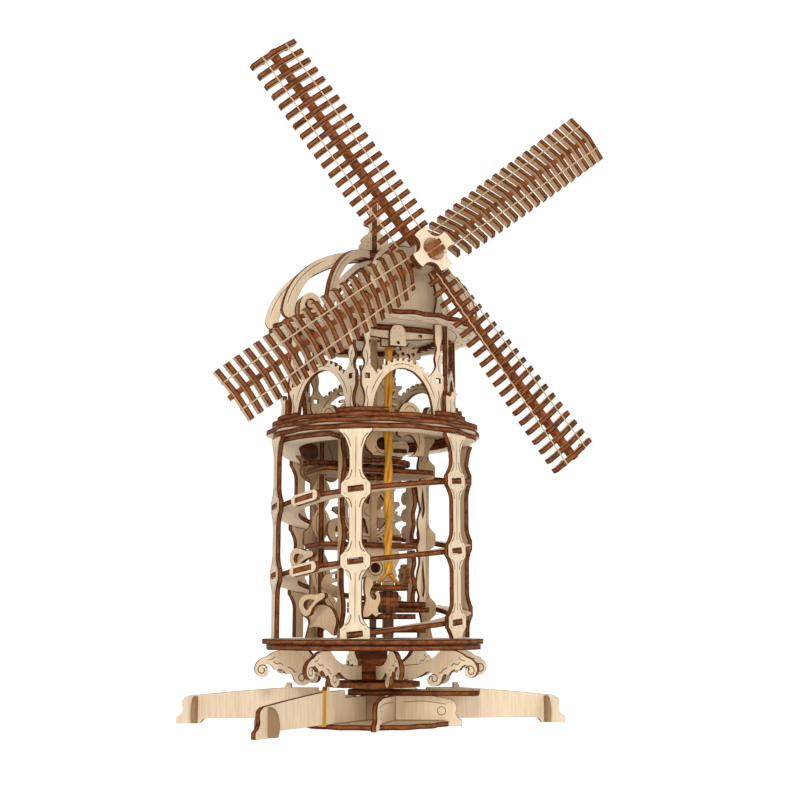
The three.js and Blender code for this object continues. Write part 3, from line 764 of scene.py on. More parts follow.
def arch_outline():
    """An arch between two wavy legs, with blunt teeth on its thin ring."""
    top = CAP_Z - GAP - GALLERY_Z
    right = [(19.2, 0), (26, 0)]
    right += smooth([(26, 0), (25.2, 3), (23.8, 8), (24.4, 13), (26, 17), (26, 21)], 4)[1:]
    right += smooth(
        [
            (26, 21), (26.0, 25), (24.6, 27.4), (24.2, 31), (25.6, 34.5), (25.0, 38), (23.8, 42),
            (25, 47), (24.6, 51), (25, top),
        ],
        4,
    )[1:]
    right += [(20.4, top)]
    right += smooth(
        [(20.4, top), (20.8, 46), (21.8, 42), (20.6, 36), (21.2, 31), (19.8, 28), (18.4, 26.2)], 4,
    )[1:]
    for a in (50, 59, 68, 77, 86):
        for da, out in ((-3, 0.0), (-1.8, 1.0), (1.8, 1.0), (3, 0.0)):
            right += oval([a + da], 23.6 + 1.7 * out, 33.0 + 1.7 * out)
    inner = oval([180 - i * 7.5 for i in range(25)], 19.2, 28.4)
    return mirror(right) + inner[1:-1]


def build_gallery():
    holes = [rectangle(s * 22.6, 22.4, 3.0, 3.0) for s in BOTH]
    for i in range(6):
        place = facing(-47.5, i * 60, z=GALLERY_Z)
        build = Build(60 + i)
        build.plate(arch_outline(), place, holes)
        for path, width in arch_lines():
            build.line(path, place, width, sides=BOTH)
        build.object(f"arch_plate_{i + 1}", "tower", [f"gallery_arch_{i + 1}"])


def rib_outline():
    """A crescent rib: two ellipses and a foot on the cap's floor."""
    outer = oval(range(5, 85, 3), 68.8, 51, y=CAP_TOP)
    inner = oval(range(82, 5, -3), 60.4, 46.2, y=CAP_TOP)
    foot = smooth(
        [(60.2, 244.6), (59.4, 242.4), (59.8, CAP_TOP), (63.8, CAP_TOP), (67.0, 241.6), outer[0]],
        4,
    )
    return outer + inner + foot[1:-1]


def build_cap_floor():
    build = Build(70)
    holes = [circle(0, 0, 13, 48), rectangle(0, BAND_Y, 9, 3.6)]
    place = flat(CAP_Z + 1.5)
    build.plate(wavy(65, 1.1, 24), place, holes)
    for a in range(0, 360, 15):
        path = smooth([polar(a - 4, 58.5), polar(a - 2, 60.6), polar(a + 2, 60.2), polar(a + 4, 57.8)], 4)
        build.line(path, place, 0.45, sides=(-1, 1))
        build.line([polar(a + 5.5, 55), polar(a + 9.5, 55)], place, 1.1, sides=(-1,))
    build.line(circle(0, 0, 52, 96), place, 0.45, sides=(-1, 1), closed=True)
    build.object("cap_disc", "tower", ["cap_floor"])


def build_dome():
    build = Build(71)
    outline = rib_outline()
    for angle in (45, 75, 105, 165):
        for side in BOTH:
            place = radial(angle * side)
            build.plate(outline, place)
            build.line(oval(range(10, 60, 5), 66.2, 49.2, y=CAP_TOP), place, 0.4, sides=BOTH)
    build.plate(wavy(10.2, 0.3, 8, 64), flat(CAP_TOP + 47.6), thickness=7.0)
    build.object("dome_plates", "tower", ["dome_ribs"])


FINIAL = [
    (7.2, 0), (9.6, 1.6), (10, 4.6), (8.4, 7.2), (8.8, 9), (6.6, 11.4), (4.2, 13), (3.4, 15.6),
    (3.8, 17.6), (6.6, 18.8), (6.8, 21), (4.2, 22.2), (3.0, 23.4), (3.4, 25.4), (4.9, 28.2),
    (4.6, 32), (2.8, 35.4), (0.8, 37.5),
]


def build_finial():
    """Two crossed sheets on the dome's crown, with scattered nicks round the foot."""
    build = Build(72)
    z = CAP_TOP + 51.1 + GAP
    for turn in (0, 90):
        place = facing(0, turn - 20, z=z)
        build.plate(mirror(smooth(FINIAL, 5)), place)
        for k in range(26):
            x, y = ((k * 37) % 13 - 6) * 0.95, 2 + (k * 53 % 97) / 97 * 9.0
            if 1.9 < abs(x) < 8.2 - y * 0.35:
                nick = [(x, y), (x + 0.7, y + 0.5 * (-1) ** k)]
                build.line(nick, place, 0.45, sides=BOTH)
        for s in BOTH:
            curve = smooth([(s * 3.4, 25), (s * 2.4, 29), (s * 2.6, 33)], 4)
            build.line(curve, place, 0.45, sides=BOTH)
            build.line([(s * 2, 20), (s * 5.6, 19.9)], place, 0.5, sides=BOTH)
    build.object("finial_plates", "tower", ["finial"])


# each gable's name, place, half width, and the heights of its sides, crown and bore
GABLES = (("front", -50, 22, 262, 286, 265.6), ("rear", 14, 20, 258, 274, 261.2))


def build_gables():
    for name, y, wide, side, crown, bore in GABLES:
        arch = oval(range(0, 181, 6), wide, crown - side, y=side)
        build = Build(73 + y)
        place = facing(y)
        outline = [(-wide, CAP_TOP), (wide, CAP_TOP)] + arch
        build.plate(outline, place, [circle(0, bore, 5.6, 32)])
        line = [(x * 0.86, side + (z - side) * 0.84) for x, z in arch]
        build.line(line, place, 0.5, sides=BOTH)
        build.object(name + "_gable_plate", "tower", ["gable_" + name])


def build_hanger():
    """The plate under the cap that holds the rubber band's top."""
    build = Build(75)
    half = [(5.2, BAND_TOP), (5.2, 231.4)]
    half += smooth([(5.2, 231.4), (5.0, 233.6), (4.3, 235.4), (4, 236.6)], 4)[1:]
    half += [(4, 245), (2.6, 247), (0, 247)]
    place = facing(BAND_Y)
    build.plate(mirror(half), place, [circle(0, BAND_TOP + 3.6, 1.4, 16)])
    for k in range(9):
        x, z = k * 37 % 7 - 3, 229.5 + k * 53 % 60 / 10
        build.line([(x, z), (x + 0.5, z + 0.5)], place, 0.5)
    build.object("hanger_plate", "tower", ["band_hanger"])


def build_cap():
    build_cap_floor()
    build_dome()
    build_finial()
    build_gables()
    build_hanger()


# ---- Sails ----
SLAT_FRONT = [(-1, -2.2), (-0.55, -3.6), (0, -5.2), (0.55, -3.6), (1, -2.2)]
SLAT_BACK = [(1, 2), (0.55, 0.6), (0, -1), (-0.55, 0.6), (-1, 2)]
THREAD_X, THREAD_RADIUS = 8.5, 0.42


def sail_twist(k):
    return TWIST_HUB + (TWIST_TIP - TWIST_HUB) * k / (SLATS - 1)


def thread_point(side, k, across, along):
    """A point of the thread near slat k: its place across the slat and along the sail."""
    ((x, y),) = turned([(side * THREAD_X, across)], sail_twist(k))
    return x, y, SLAT_FIRST + k * SLAT_PITCH + along


def build_sail(i):
    """A spar and its bent slats, each twisted a little less than the one before."""
    place = ROTOR @ Matrix.Rotation(rad(90 - SAIL_TURN - i * 90), 4, "Y")
    build = Build(80 + i)
    end = SLAT_FIRST + (SLATS - 1) * SLAT_PITCH + 2.5
    spar = [(-1.5, 6.6), (1.5, 6.6), (1.5, end), (-1.5, end)]
    build.plate(spar, place @ facing(0), thickness=6.0, bevel=0.15, face_edge=DARKENED)
    for k in range(SLATS):
        half = SLAT_FIRST - 2 if k == 0 else SLAT_HALF
        along = Matrix.Translation((0, 0, SLAT_FIRST + k * SLAT_PITCH))
        at = place @ along @ Matrix.Rotation(rad(sail_twist(k)), 4, "Z")
        build.seed = 80 + i + k * 0.37
        build.plate([(half * u, v) for u, v in SLAT_FRONT + SLAT_BACK], at, bevel=0.14)
    name, node = f"sail_slats_{i + 1}", f"sail_{i + 1}"
    # the slats' faces are darkened: painted shade
    build.object(name, "sails", [node], painted_shade=0.45)
    thread = Build(90 + i)
    for side in BOTH:
        path = []
        for k in range(SLATS):
            for along, across in ((-3.38, -3.9), (-1.4, -4.1), (1.4, -4.1)):
                path.append(thread_point(side, k, across, along))
        thread.tube(path, THREAD_RADIUS, place, sides=6)
        knot = []
        for a in range(0, 361, 45):
            across, along = -1.0 + 3.0 * math.sin(rad(a)), 2.0 * math.cos(rad(a))
            knot.append(thread_point(side, SLATS - 1, across, along))
        thread.tube(knot, THREAD_RADIUS, place, sides=6)
    thread.object(f"sail_thread_{i + 1}", "sails", materials=(THREAD, THREAD))


def build_hub():
    """Two notched stars on a drum, with two keys wedged in the front one."""
    build = Build(95)
    star = []
    for i in range(4):
        arm = SAIL_TURN + i * 90
        star += arc(0, 0, 13.4, arm - 20, arm + 20, 6)
        ((x, y),) = oval([arm + 45], 13.5, 13.5)
        star += oval([arm + 297 - 12 * k for k in range(1, 12)], 5.4, 5.4, x, y)
    for y in (-12.5, -9.5):
        build.plate(star, ROTOR @ facing(y), thickness=2.9)
    drum = ROTOR @ facing(0.4)
    build.plate(circle(0, 0, 9.2, 40), drum, thickness=17.0, edge=0.55, face_edge=0.35)
    lens = smooth([(-4.6, 0.4), (-2.4, 2.2), (1.2, 2.6), (4.4, 0.4)], 5)
    for side in BOTH:
        key = turned(rectangle(0, side * 2.1, 10.8, 3.0), 35)
        build.plate(key, ROTOR @ facing(-15.5), thickness=2.9, face_edge=DARKENED)
        cap = turned([(x, side * (y + 3.9)) for x, y in lens], 35)
        build.plate(cap[::side], ROTOR @ facing(-14.7), thickness=1.4, face_edge=0.7)
    build.object("hub_star", "sails", ["sail_hub"])


def build_sails():
    for i in range(4):
        build_sail(i)
    build_hub()


# ---- Works ----
def gear_outline(teeth, root, tip, first=0.0, share=0.5):
    """A gear with trapezoid teeth, their flanks given as shares of the pitch and radii."""
    pitch, out = 360 / teeth, []
    rise = [(-0.62, root), (-0.52, root + 0.3), (-0.33, tip - 0.25), (-0.2, tip)]
    for i in range(teeth):
        middle = first + i * pitch
        for offset, radius in rise + [(-offset, radius) for offset, radius in reversed(rise)]:
            out += oval([middle + offset * share * pitch], radius, radius)
    return out


def finger_outline(teeth, root, tip, first, half):
    """A crown gear whose teeth are straight fingers."""
    flank = [(root, -half), (tip - 0.8, -half), (tip, -half / 2)]
    finger = flank + [(x, -y) for x, y in reversed(flank)]
    out = []
    for i in range(teeth):
        out += turned(finger, first + i * 360 / teeth)
    return out


def petal_holes(count, inner, outer, spread, turn=0.0):
    """Curved windows between a wheel's spokes."""
    holes = []
    for i in range(count):
        a = i * 360 / count + turn
        lean = 14
        half = int(spread * 0.5)
        rim = oval([a + lean + t for t in range(-int(spread), int(spread) + 1, 6)], outer, outer)
        near = oval([a + t for t in range(half, -half - 1, -8)], inner, inner)
        holes.append(smooth(rim + near, 2, closed=True))
    return holes


def axle(build, x, y, low, high, radius=3.2, sides=8, edge=0.75):
    middle = Matrix.Translation((x, y, (low + high) / 2))
    build.plate(circle(0, 0, radius, sides), middle, thickness=high - low, bevel=0.15, edge=edge)


PETALS = ((54, 78), (78, 102), (110.5, 129), (129, 147.6))
MESH_TURN = -110.8


def build_main_shaft():
    build = Build(100)
    axle(build, 0, 0, POST_BOTTOM + GAP, 247.4, 2.3, edge=0.2)
    for z in CROWN_Z:
        build.plate(finger_outline(12, 8.2, 11.6, 15, 0.9), flat(z + 1.5))
    build.plate(gear_outline(12, 8.2, 11.35, -90), flat(WINDING_Z + 1.5))
    build.object("shaft_plates", "shaft", ["main_shaft"], painted_shade=0.4)
    build = Build(101)
    gear = gear_outline(24, 21.33 - 1.8, 21.33 + 1.35, MESH_TURN - 90)
    build.plate(gear, flat(GREAT_Z + 1.5), [circle(0, 0, 3.6, 20)] + petal_holes(5, 8, 15.5, 20))
    build.object("great_gear", "shaft", ["great_wheel"], painted_shade=0.3)


def build_governor():
    """Two crossed sheets whose outline swells into petals, with a pinion."""
    axis = Matrix.Translation((*GOVERNOR, 0))
    right = [(2.2, POST_BOTTOM + GAP)]
    for low, high in PETALS:
        for t in (0.03, 0.1, 0.2, 0.34, 0.5, 0.66, 0.8, 0.9, 0.97):
            right.append((1.5 + 4.3 * math.sin(math.pi * t) ** 0.75, low + (high - low) * t))
    right.append((2.2, POST_TOP))
    build = Build(102)
    for turn in (0, 90):
        place = axis @ facing(0, turn - 18)
        build.plate(mirror(right), place)
        for low, high in PETALS:
            z = (low + high) / 2
            for side in BOTH:
                bow = [(side * u, z + v) for u, v in ((2.0, -7), (2.9, -3), (2.9, 3), (2.0, 7))]
                build.line(smooth(bow, 3), place, 0.4, sides=BOTH)
    pinion = gear_outline(12, 10.67 - 1.8, 10.67 + 1.35, 15)
    build.plate(pinion, axis @ flat(GREAT_Z + 1.5, MESH_TURN + 90))
    build.object("governor_petals", "governor", ["governor_axle"], painted_shade=0.35)


def build_upright_wheel(seed, z, outline, holes, ring, piece, painted_shade):
    """A wheel that stands on edge on its pin. piece is its name, body and node."""
    build = Build(seed)
    place = facing(UPRIGHT_Y, z=z)
    build.plate(outline, place, [circle(0, 0, 1.2, 12)] + holes)
    build.line(ring, place, 0.4, sides=BOTH, closed=True)
    build.plate(circle(0, 0, 2.6, 16), facing(UPRIGHT_Y + 1.6, z=z), thickness=8.4, edge=0.8)
    name, body, node = piece
    build.object(name, body, [node], painted_shade=painted_shade)


def build_winding():
    """The drum that the rubber band winds on, with its gear below and its disc on top."""
    build = Build(105)
    axis = Matrix.Translation((0, BAND_Y, 0))
    axle(build, 0, BAND_Y, POST_BOTTOM + GAP, 78.8, 3.0, 10)
    build.plate(gear_outline(18, 13.2, 16.35, 100), axis @ flat(WINDING_Z + 1.5))
    build.plate(circle(0, 0, 5.6, 24), axis @ flat(72), thickness=11.8, edge=0.9)
    for a in range(0, 360, 45):
        build.plate(rectangle(*polar(a, 5.5), 1.6, 1.6), axis @ flat(72), thickness=11.6)
    build.plate(wavy(11.8, 0.2, 6, 60), axis @ flat(80.1))
    for side in BOTH:
        build.plate(rectangle(side * 6.4, 0, 3.2, 2.4), axis @ flat(81.8), thickness=1.4)
    build.object("winding_plates", "winding", ["winding_drum"], painted_shade=0.3)


def build_shafts():
    build_main_shaft()
    build_governor()
    gear, petals = gear_outline(24, 17.4, 20, 90, 0.42), petal_holes(5, 5.4, 13.2, 22, 20)
    piece = ("spoked_gear", "wheel", "spoked_wheel")
    build_upright_wheel(103, SPOKED_Z, gear, petals, circle(0, 0, 15.6, 60), piece, 0.6)
    fingers = finger_outline(24, 13.6, 20, -90, 0.9)
    eyes = [circle(0, y, 2, 16) for y in (7.6, -7.6)]
    piece = ("finger_gear", "fingers", "finger_wheel")
    build_upright_wheel(104, FINGER_Z, fingers, eyes, circle(0, 0, 11.4, 48), piece, 1.0)
    build_winding()
    build = Build(106)
    holes = [circle(0, 0, 4.8, 24)] + petal_holes(6, 7.4, 13.8, 20)
    build.plate(gear, ROTOR @ facing(72.15), holes)
    build.object("brake_gear", "sails", ["brake_wheel"], painted_shade=0.3)
    build = Build(107)
    start, end = 9.3, 99
    bar = ROTOR @ facing((start + end) / 2)
    build.plate(circle(0, 0, 4.5, 8), bar, thickness=end - start, edge=0.8, bevel=0.2)
    build.object("windshaft_bar", "sails", ["windshaft"], painted_shade=0.4)


FRAME_NODES = (68.4, 111.6, 154.4)
KNUCKLE = ((4.4, -9), (3.8, -6.5), (0, -3.4), (0, 3.6), (3.8, 7.2), (4.6, 10))


def frame_outline(inner, outer, low, high, nodes):
    """A side frame: straight on the inside, with a knuckle at each node on the outside."""
    out = [(inner + 0.4, low)]
    right = [(outer - 2.2, low)]
    for node in nodes:
        right += [(outer - inset, node + up) for inset, up in KNUCKLE]
    right += [(outer - 4.6, high - 12), (outer - 3.6, high - 7), (outer - 0.4, high - 2.6), (outer, high)]
    left = [(inner, high)]
    for node in reversed(nodes):
        left += [
            (inner + 1.4, node + 11), (inner + 0.2, node + 3), (inner + 1.8, node - 3),
            (inner + 3.2, node - 12),
        ]
    return out + right + smooth(left + [(inner + 0.6, low + 4)], 4)


def build_side_frames():
    build = Build(110)
    place = facing(8)
    build.plate(frame_outline(32.4, 44.6, POST_BOTTOM, DECK_UNDER, FRAME_NODES), place)
    for node in FRAME_NODES:
        build.line([(32.6, node), (34.4, node), (37.4, node)], place, 2.4, sides=BOTH)
        for x in (35.4, 39.2):
            curl = smooth([(x - 0.8, node + 6), (x, node + 7.4), (x + 0.2, node + 10)], 3)
            build.line(curl, place, 0.45, sides=BOTH)
    for low, high in ((78, 102), (121, 145)):
        path = [(36.4, low), (36.2, (low + high) / 2), (36.4, high)]
        build.line(path, place, 0.7, sides=BOTH)
    # darkened: painted shade inside the tower
    build.object("frame_right_plate", "tower", ["inner_frame_right"], painted_shade=0.5)
    build = Build(111)
    place = facing(25.5)
    right = frame_outline(24.2, 36.8, POST_BOTTOM, DECK_UNDER, FRAME_NODES)
    build.plate([(-x, z) for x, z in right], place)
    for node in FRAME_NODES:
        build.line([(-30, node + 10), (-29.6, node + 20)], place, 0.5, sides=BOTH)
    # darkened: painted shade inside the tower
    build.object("frame_left_plate", "tower", ["inner_frame_left"], painted_shade=0.25)


def build_shelf(seed, name, z, right):
    """A level sheet with rounded corners and bores for the shafts."""
    build = Build(seed)
    outline = [(-32, -14), (right - 6, -14)]
    outline += smooth([(right - 6, -14), (right - 1, -10.5), (right, -6)], 4)[1:]
    outline += [(right, 17.6), (right - 6, 23.6), (-32, 23.6)]
    outline += smooth([(-32, 23.6), (-37, 20), (-38, 17.6)], 4)[1:] + [(-38, -8), (-37, -12.5)]
    build.plate(outline, flat(z + 1.5), [circle(0, 0, 4.4, 24), circle(*GOVERNOR, 3.6, 20)])
    if name == "shelf_low":
        wall = smooth([(9, 107.6), (9, 128), (8.4, 133), (5.6, 137), (0, 138)], 4)
        build.plate(mirror(wall), facing(17.5), [circle(0, SPOKED_Z, 3, 20)])
    # darkened: painted shade inside the tower
    build.object(name + "_plate", "tower", [name], painted_shade=0.15)


def build_inner():
    build_side_frames()
    build_shelf(112, "shelf_low", SHELF_LOW_Z, 26.4)
    build_shelf(113, "shelf_high", SHELF_HIGH_Z, 37.0)
    build = Build(115)
    wall = [
        (10, GALLERY_Z), (9.4, 186), (6.4, 190), (6.8, 199), (7, 203), (5.4, 207.4), (3, 209), (0, 209),
    ]
    build.plate(mirror(wall), facing(17.8), [circle(0, FINGER_Z, 3, 20)])
    build.object("gallery_bearing_plate", "tower", ["gallery_bearing"], painted_shade=0.3)


# ---- Sheets that only show, fixed to the tower ----
def trim(name, seed, plates, painted_shade):
    """One piece of flat sheets: each is an outline, its place, its holes and its lines."""
    build = Build(seed)
    for outline, place, holes, lines in plates:
        build.plate(outline, place, holes)
        for path in lines:
            build.line(path, place, 0.45, sides=BOTH)
    # the last argument darkens the sheets' colour as painted shade
    build.object(name, "tower", painted_shade=painted_shade)


def lobed(x, y, root, tip, count):
    """A decorative wheel with round lobes for teeth."""
    out = []
    for i in range(count * 8):
        a = i * 360 / (count * 8)
        swell = max(-0.55, min(0.8, 1.4 * math.cos(rad(a * count))))
        r = root + (tip - root) * (swell + 0.55) / 1.35
        out += oval([a], r, r, x, y)
    return out


def stadium(x, y, length, height, tilt):
    half, r = length / 2 - height / 2, height / 2
    out = arc(half, 0, r, -90, 90, 10) + arc(-half, 0, r, 90, 270, 10)
    return turned(out, tilt, x, y)


LINKS = ((7.9, 130.9), (7.4, 90.2))


def slanted(x, z, left, right, half):
    """A slot or tab that follows the ramp's slope."""
    return [
        (x + px, z + py + px * 0.14)
        for px, py in ((left, -half), (right, -half), (right, half), (left, half))
    ]


def build_links():
    """Link plates clipped over the ramp's edge at the left, and the tabs in them."""
    links = []
    for x, z in LINKS:
        hole = slanted(x, z, -8.0, 7.2, 1.5)
        links.append((stadium(x, z, 23, 6.4, 8), facing(-62.6, -66), [hole], []))
    trim("link_plates", 120, links, 1.0)
    build = Build(119)
    for x, z in LINKS:
        tab = slanted(x, z, -7.7, 6.9, 1.2)
        build.plate(tab, facing(-62.4, -66), thickness=3.6, face_edge=DARKENED)
    build.object("link_tabs", "tower")


def build_ramp_loops():
    """Loops that stand on the ramp, and the fin below them."""
    drop = [
        (-9.0, 0.0), (-8.2, 4.0), (-4.6, 6.4), (0.5, 6.0), (5.0, 4.6), (10.5, 4.2), (10.8, 1.4),
        (5.0, -0.2), (0.8, -2.4), (-2.4, -5.6), (-6.6, -5.0),
    ]
    eye = [(-5.4, 0.2), (-4.4, 2.6), (-1.6, 3.2), (2.6, 2.0), (3.0, 1.4), (-0.6, -0.6), (-3.6, -2.2)]
    loops = []
    for x, z, turn, place in ((-0.2, 96.2, 0, facing(-58, -66)), (-6.0, 70.4, 14, facing(-50, -58))):
        shape, hole = (turned(smooth(path, 4, closed=True), turn, x, z) for path in (drop, eye))
        loops.append((shape, place, [hole], []))
    fin = smooth(
        [
            (-17, 69.5), (-12, 69.6), (-5, 70.4), (1, 68), (4.8, 61.4), (3.6, 56), (2.4, 52.6),
            (-3, 55.8), (-9.6, 57.6), (-15.6, 57), (-14.6, 60), (-15.6, 63.8),
        ],
        4, closed=True,
    )
    loops.append((fin, facing(-40, -58), [], []))
    trim("ramp_loops", 121, loops, 0.6)


def build_upper_plates():
    """The round-headed plate under the upper deck, its arms, and near-black discs behind them as painted
    shadow.
    """
    bulb = smooth(
        [
            (-10.4, DECK_UNDER), (-13.2, 172.6), (-14.2, 168), (-12.6, 163.2), (-9.4, 160.2),
            (-9.6, 159.2),
        ],
        5,
    )
    bulb += [(6.4, 159.2)] + smooth(
        [(6.4, 159.2), (3.4, 162.6), (2.6, 167), (4.4, 172), (4.4, DECK_UNDER)], 5,
    )[1:]
    frown = smooth([(-7.8, 160.6), (-6.2, 161.4), (-3, 160.6), (0.4, 161.2), (1.6, 162)], 4)
    lines = [frown, arc(-2.8, 166.6, 5.2, 200, 250, 6)]
    plate = (bulb, facing(-21.2), [circle(-2.8, 166.6, 3.8, 28)], lines)
    side = [(5.4, DECK_UNDER), (5.6, 172), (8.2, 170.6)] + smooth(
        [(8.2, 170.6), (13, 172.4), (16.8, 170), (18.6, 165), (16.6, 160.8), (12.6, 159.4)], 5,
    )[1:]
    side += [(22.6, 159.4), (23.6, 166), (23.2, DECK_UNDER)]
    inner = smooth(
        [
            (5.0, 168.8), (8.0, 168.8), (12.6, 169.6), (15.4, 167.6), (16.2, 164.4), (14.4, 161.2),
            (11.6, 159.4),
        ],
        4,
    ) + [(5.6, 159.4), (4.2, 163)]
    chord = smooth([(5.2, 163.6), (9, 164.4), (14.6, 163.8)], 4)
    arm = (side, facing(-24.6), [], [[(19, 162), (20, 168), (19.4, 174)]])
    pad = (inner, facing(-17.0), [], [chord, [(6, 166.8), (14, 167)]])
    trim("upper_plates", 122, [plate, arm, pad], 0.5)
    # near-black discs and a bar under the upper deck: painted shadow in the openings and gaps in front of
    # them
    build = Build(118)
    for outline, y, thickness in (
        (circle(-2.8, 166.6, 4.4, 28), -18.2, 2.0),
        (circle(-41, 162.6, 5.4, 28), 2, PLY),
        (circle(-2.4, 92.6, 3.4, 24), -6.4, 2.0),
        (rectangle(10, 163, 8, 2.2), -19.6, 2.0),
    ):
        build.plate(outline, facing(y), thickness=thickness, face_edge=SHADOW_BLACK)
    build.object("shadow_discs", "tower")
    back = smooth(
        [
            (-45, DECK_UNDER), (-44.6, 168), (-38, 160), (-37.4, 152), (-31, 147), (-24, 150),
            (-16, 148), (-8, 154.6), (6, 155), (18, 154.4), (27, 155), (30, 166), (30, DECK_UNDER),
        ],
        5,
    )
    lines = [
        smooth([(-34, 170), (-29, 160), (-33, 152)], 5),
        smooth([(-20, 172), (-17, 162), (-20, 154)], 5),
    ]
    trim("back_plates", 117, [(back, facing(30), [], lines)], 0.35)
    wheel = lobed(8, 126.4, 19.4, 24, 15)
    gaps = [moved(hole, 8, 126.4) for hole in petal_holes(5, 7.4, 16.4, 21, 8)]
    trim("lobed_wheel", 138, [(wheel, facing(32.4), gaps, [])], 0.85)


def build_panel_and_hook():
    """The panel below the low shelf, with its ringed hole, and the S-shaped hook."""
    panel = [(-11, 104.3), (12.4, 104.3)] + smooth(
        [(12.4, 104.3), (13.4, 98), (10.6, 92.6), (11.4, 87.6), (7.4, 84.4)], 5,
    )[1:]
    panel += [(-5, 84.4)] + smooth(
        [(-5, 84.4), (-9.6, 86.2), (-12.0, 91), (-12.4, 98), (-11, 104.3)], 5,
    )[1:-1]
    hook = smooth(
        [
            (-21.6, 84), (-20.2, 86), (-17.4, 85), (-16.6, 81.6), (-18.2, 78.4), (-18.4, 75.6),
            (-16.8, 73.2), (-15, 73.2), (-14.6, 75), (-15.6, 76.4), (-14.2, 77.8), (-12.4, 75.8),
            (-12.2, 71.8), (-13.6, 68.4), (-13.2, 64.6), (-15.2, 63.4), (-17.2, 65), (-19.2, 63.4),
            (-22.6, 63.4), (-22.4, 68), (-21, 73), (-21.8, 78.4),
        ],
        4, closed=True,
    )
    ring = circle(-2.4, 92.6, 4.6, 28) + [(2.2, 92.6)]
    trim("hole_panel", 123, [(panel, facing(-9), [circle(-2.4, 92.6, 3.0, 24)], [ring])], 0.6)
    trim("hook_plate", 124, [(hook, facing(-42.5), [], [])], 0.55)


def build_wavy_plates():
    """Plates on edge beside the right frame, lobed behind, and a column at the left."""
    front = smooth(
        [(2.4, 148), (-1.4, 141), (-3.2, 133), (0.2, 127), (-0.8, 120), (2.6, 113), (0.4, 107.9)],
        5,
    )
    lobes = [(9, 107.9), (9, 110.4)]
    for z in (116, 126.6, 137.2):
        lobes += [
            (8.6, z - 4.4), (13.6, z - 3.8), (16.4, z - 1.4), (16.6, z + 1.4), (14, z + 3.8),
            (8.6, z + 4.4),
        ]
    upper = front + lobes + [(9, 148)]
    front = smooth([(0.4, 104.3), (-1.6, 96), (1.6, 90), (-2.0, 83), (0.8, 76), (-0.6, 71)], 5)
    lower = front + [(7, 71), (7, 104.3)]
    plates = [(shape, facing(-26.6, 90), [], []) for shape in (upper, lower)]
    front = []
    for node in FRAME_NODES:
        front += [
            (-18.6, node - 16), (-20.0, node - 9), (-22.6, node - 3), (-22.4, node + 4),
            (-19.6, node + 10), (-18.8, node + 18),
        ]
    column = smooth([(-19.4, 51.4)] + front[1:-1] + [(-19.6, 169.4)], 4)
    plates.append((column + [(-15.4, 169.4), (-15.4, 51.4)], facing(27, 90), [], []))
    trim("wavy_plates", 125, plates, 0.55)


def build_pale_strip():
    """The pale slitted strip in front of the right frame."""
    left = smooth(
        [
            (29.6, 147), (30.4, 138), (32.0, 130), (30.2, 122), (31.4, 112), (30.0, 106),
            (31.6, 98), (30.0, 90), (29.4, 82), (31.2, 76), (30.2, 70),
        ],
        5,
    )
    strip = left + [(35.6, 70), (35.9, 147)]
    slits = []
    for low, high in ((124, 144), (75, 99)):
        middle = (low + high) / 2
        near = smooth([(33.6, low), (32.2, low + 5), (32.6, middle), (33.4, high)], 4)
        far = smooth([(33.4, high), (34.6, middle), (34.8, low + 5), (33.6, low)], 4)
        slits.append(near + far[1:-1])
    trim("pale_strip", 116, [(strip, facing(2.6), slits, [])], 0.95)


def build_stacked_sheets():
    """The stacked sheets above the lower deck, the small gear on edge and the small arch."""
    # these sheets and the small gear are darkened: painted shade inside the tower
    sheets = Build(114)
    for z, wide, near in ((67.6, 31.6, -17.6), (70.9, 29.6, -16.6), (55.6, 28.6, -18.6)):
        rim = smooth(
            [
                (-11, 16), (-13, 4), (-12.4, near + 4), (-8, near), (8, near - 0.6),
                (wide - 6, near), (wide, near + 5), (wide, 12), (wide - 6, 17),
            ],
            5,
        )
        sheets.plate(rim, flat(z), [circle(0, 0, 3.8, 24)], face_edge=0.35)
    place = Matrix.Translation((16.4, -10, 88)) @ facing(0, 90)
    sheets.plate(gear_outline(10, 5.6, 7.2), place, [circle(0, 0, 1.6, 12)], face_edge=0.6)
    sheets.object("stacked_sheets", "tower", painted_shade=0.3)
    arch = [(-3.2, 0)] + arc(0, 0, 3.2, 180, 0, 12)[1:]
    small = moved(arch, 2.7, 72.6)
    trim("small_arch", 115, [(small, facing(-12), [], [arc(2.7, 72.6, 2.0, 20, 160, 8)])], 1.0)


def build_small_arms():
    """Arms and a leaf between the governor and the left column."""
    arm = [(-33.4, 88.2), (-21.5, 91.8), (-21.5, 85.2), (-29.6, 83), (-21.4, 79.6), (-22.6, 74)]
    arm += smooth([(-22.6, 74), (-30.3, 76.4), (-36.0, 81.5), (-33.4, 88.2)], 4)[1:-1]
    leaf = smooth(
        [(-38, 79.4), (-32.6, 77.4), (-27.2, 70.6), (-24.4, 62.2), (-29.6, 64.8), (-34.6, 71.2)], 5,
        closed=True,
    )
    curl = smooth(
        [
            (-31.4, 119), (-27, 122), (-22.4, 121.4), (-22.0, 116.4), (-26.4, 117.2), (-27.2, 112),
            (-24.6, 108), (-29, 108), (-31.8, 113),
        ],
        4, closed=True,
    )
    rows = [(arm, facing(-6), [rectangle(-27.4, 87.4, 2.6, 2.6)], []), (curl, facing(-6), [], [])]
    trim("small_arms", 139, rows + [(leaf, facing(-12), [], [[(-35, 76), (-31, 71), (-28, 66)]])], 0.4)


